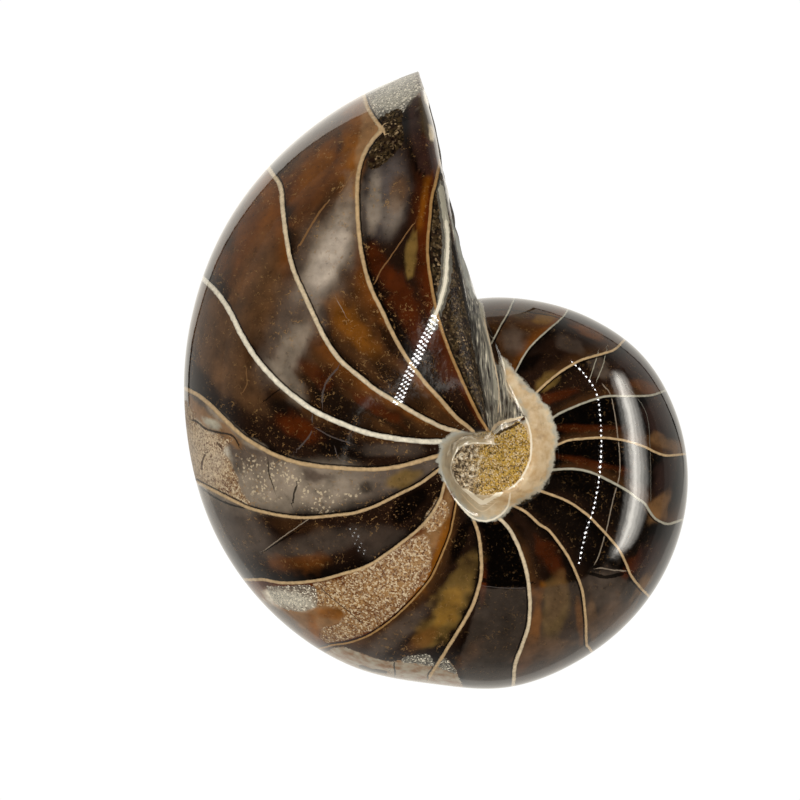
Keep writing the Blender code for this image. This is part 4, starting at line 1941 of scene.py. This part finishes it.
        bm = bent_grid(len(edge), len(self.around), ("level",), place)
        self.stage("surroundings", bm, self.glow("surroundings", 1.0, "level"))

    def add_ribbon(self, name: str, mirror: Mirror, ribbon: Ribbon) -> None:
        """Hangs a ribbon of light, which is seen in the polish between two lines of pixels.

        Args:
            name: The ribbon's name.
            mirror: The half's polish.
            ribbon: Where it is seen and how bright it is across.
        """
        left, right = curved(ribbon.left), curved(ribbon.right)
        lanes, count = len(ribbon.levels), len(left)

        def place(i: int, lane: int) -> tuple[Vector, float]:
            """The point and light of one lane at the line's point i."""
            x, y = mix(left[i], right[i], lane / (lanes - 1))
            ends = float(ease(min(i, count - 1 - i) / count / ribbon.fade))
            return mirror.spot((x, y), self.ribbon_distance), ribbon.levels[lane] * ends

        bm = bent_grid(count, lanes, ("level",), place)
        self.stage(name, bm, self.glow(name, 1.0, "level"))

    def add_dots(self, name: str, mirror: Mirror, dots: Dots) -> None:
        """Hangs strings of small lamps, which are seen in the polish along a line of pixels.

        Args:
            name: The strings' name.
            mirror: The half's polish.
            dots: Where they are seen, and their size and strength.
        """
        path = curved(dots.line)
        lengths = np.concatenate(([0], np.cumsum(np.linalg.norm(np.diff(path, axis=0), axis=1))))
        bm = bmesh.new()
        for number, offset in enumerate(dots.offsets):
            for i in range(dots.count):
                at = lengths[-1] * (i + 0.5 * (number % 2)) / dots.count
                x, y = (float(np.interp(at, lengths, path[:, k])) for k in (0, 1))
                middle = mirror.spot((x + offset, y), self.dot_distance)
                turn = (-middle).to_track_quat("Z", "Y").to_matrix().to_4x4()
                radius = dots.radius * (dots.least + dots.spread * noise.random())
                put = Matrix.Translation(middle * MM) @ turn
                size = {"segments": dots.corners, "radius": radius * MM, "matrix": put}
                bmesh.ops.create_circle(bm, cap_ends=True, **size)
        self.stage(name, bm, self.glow(name, dots.level))

    def add_floor(self) -> None:
        """Lays the white floor."""
        bm = bmesh.new()
        put = Matrix.Translation((0, 0, -self.floor_drop * MM))
        bmesh.ops.create_grid(bm, size=self.floor_size * MM / 2, matrix=put)
        self.stage("floor", bm, self.glow("white floor", self.floor_light), seen=True)

    def add_overhead(self) -> None:
        """Hangs the broad lamp overhead, which the polish doesn't show."""
        data = bpy.data.lights.new("overhead", "AREA")
        data.shape = "SQUARE"
        data.size = self.overhead_size * MM
        data.energy = self.overhead_level * math.pi * data.size**2
        lamp = as_object("overhead", data)
        at = Vector(self.overhead_at)
        lamp.location = at * MM
        lamp.rotation_euler = (-at).to_track_quat("-Z", "Y").to_euler()
        lamp.visible_glossy = False

    def add_world(self) -> None:
        """Makes the surroundings bright near the floor on the left and dark overhead."""
        world = bpy.data.worlds.new("surroundings")
        bpy.context.scene.world = world
        graph = Graph(world)
        x, _, z = graph.split(graph.add("ShaderNodeTexCoord").outputs["Object"])
        low = (1 - z.step(0.0, 0.5)) ** 1.5 * self.low_light + self.high_light
        level = low * (self.middle_light - x * self.left_light)
        graph.feed(graph.shader, {"Color": graph.scaled(Tint.DAYLIGHT.rgba[:3], level)})

    def add_camera(self) -> None:
        """Hangs the camera straight above the picture's middle."""
        data = bpy.data.cameras.new("camera")
        data.sensor_width = self.sensor
        data.lens = self.sensor * self.view.height / self.view.field_width
        data.clip_start, data.clip_end = self.clip
        camera = as_object("camera", data)
        camera.location = Vector((*self.view.centre, self.view.height)) * MM
        bpy.context.scene.camera = camera

    def build(self, mirror: Mirror) -> None:
        """Sets the whole stage.

        Args:
            mirror: The half's polish.
        """
        scene = bpy.context.scene
        scene.view_settings.view_transform = "Standard"
        scene.view_settings.look = "None"
        self.add_floor()
        self.add_surroundings()
        self.add_world()
        self.add_overhead()
        for number, ribbon in enumerate(self.ribbons):
            self.add_ribbon(f"ribbon_{number}", mirror, ribbon)
        for number, dots in enumerate(self.dots):
            self.add_dots(f"dots_{number}", mirror, dots)
        self.add_camera()


def main() -> None:
    """Builds the half, its markings and finishes, and the stage."""
    noise.seed_set(7)
    logging.basicConfig(level=logging.INFO, format="%(name)s: %(message)s")
    markings = Markings()
    half = markings.form.build("polished_half")
    log.info("%s: %d faces", half.name, len(half.data.polygons))
    markings.lay(Vertices(half.data))
    half.data.materials.append(Stone().build())
    half.data.materials.append(CutFace().build())
    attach(half, BODY)
    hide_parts(NODE)
    Studio(markings.view).build(Mirror(half, markings.view))


if __name__ == "__main__":
    main()
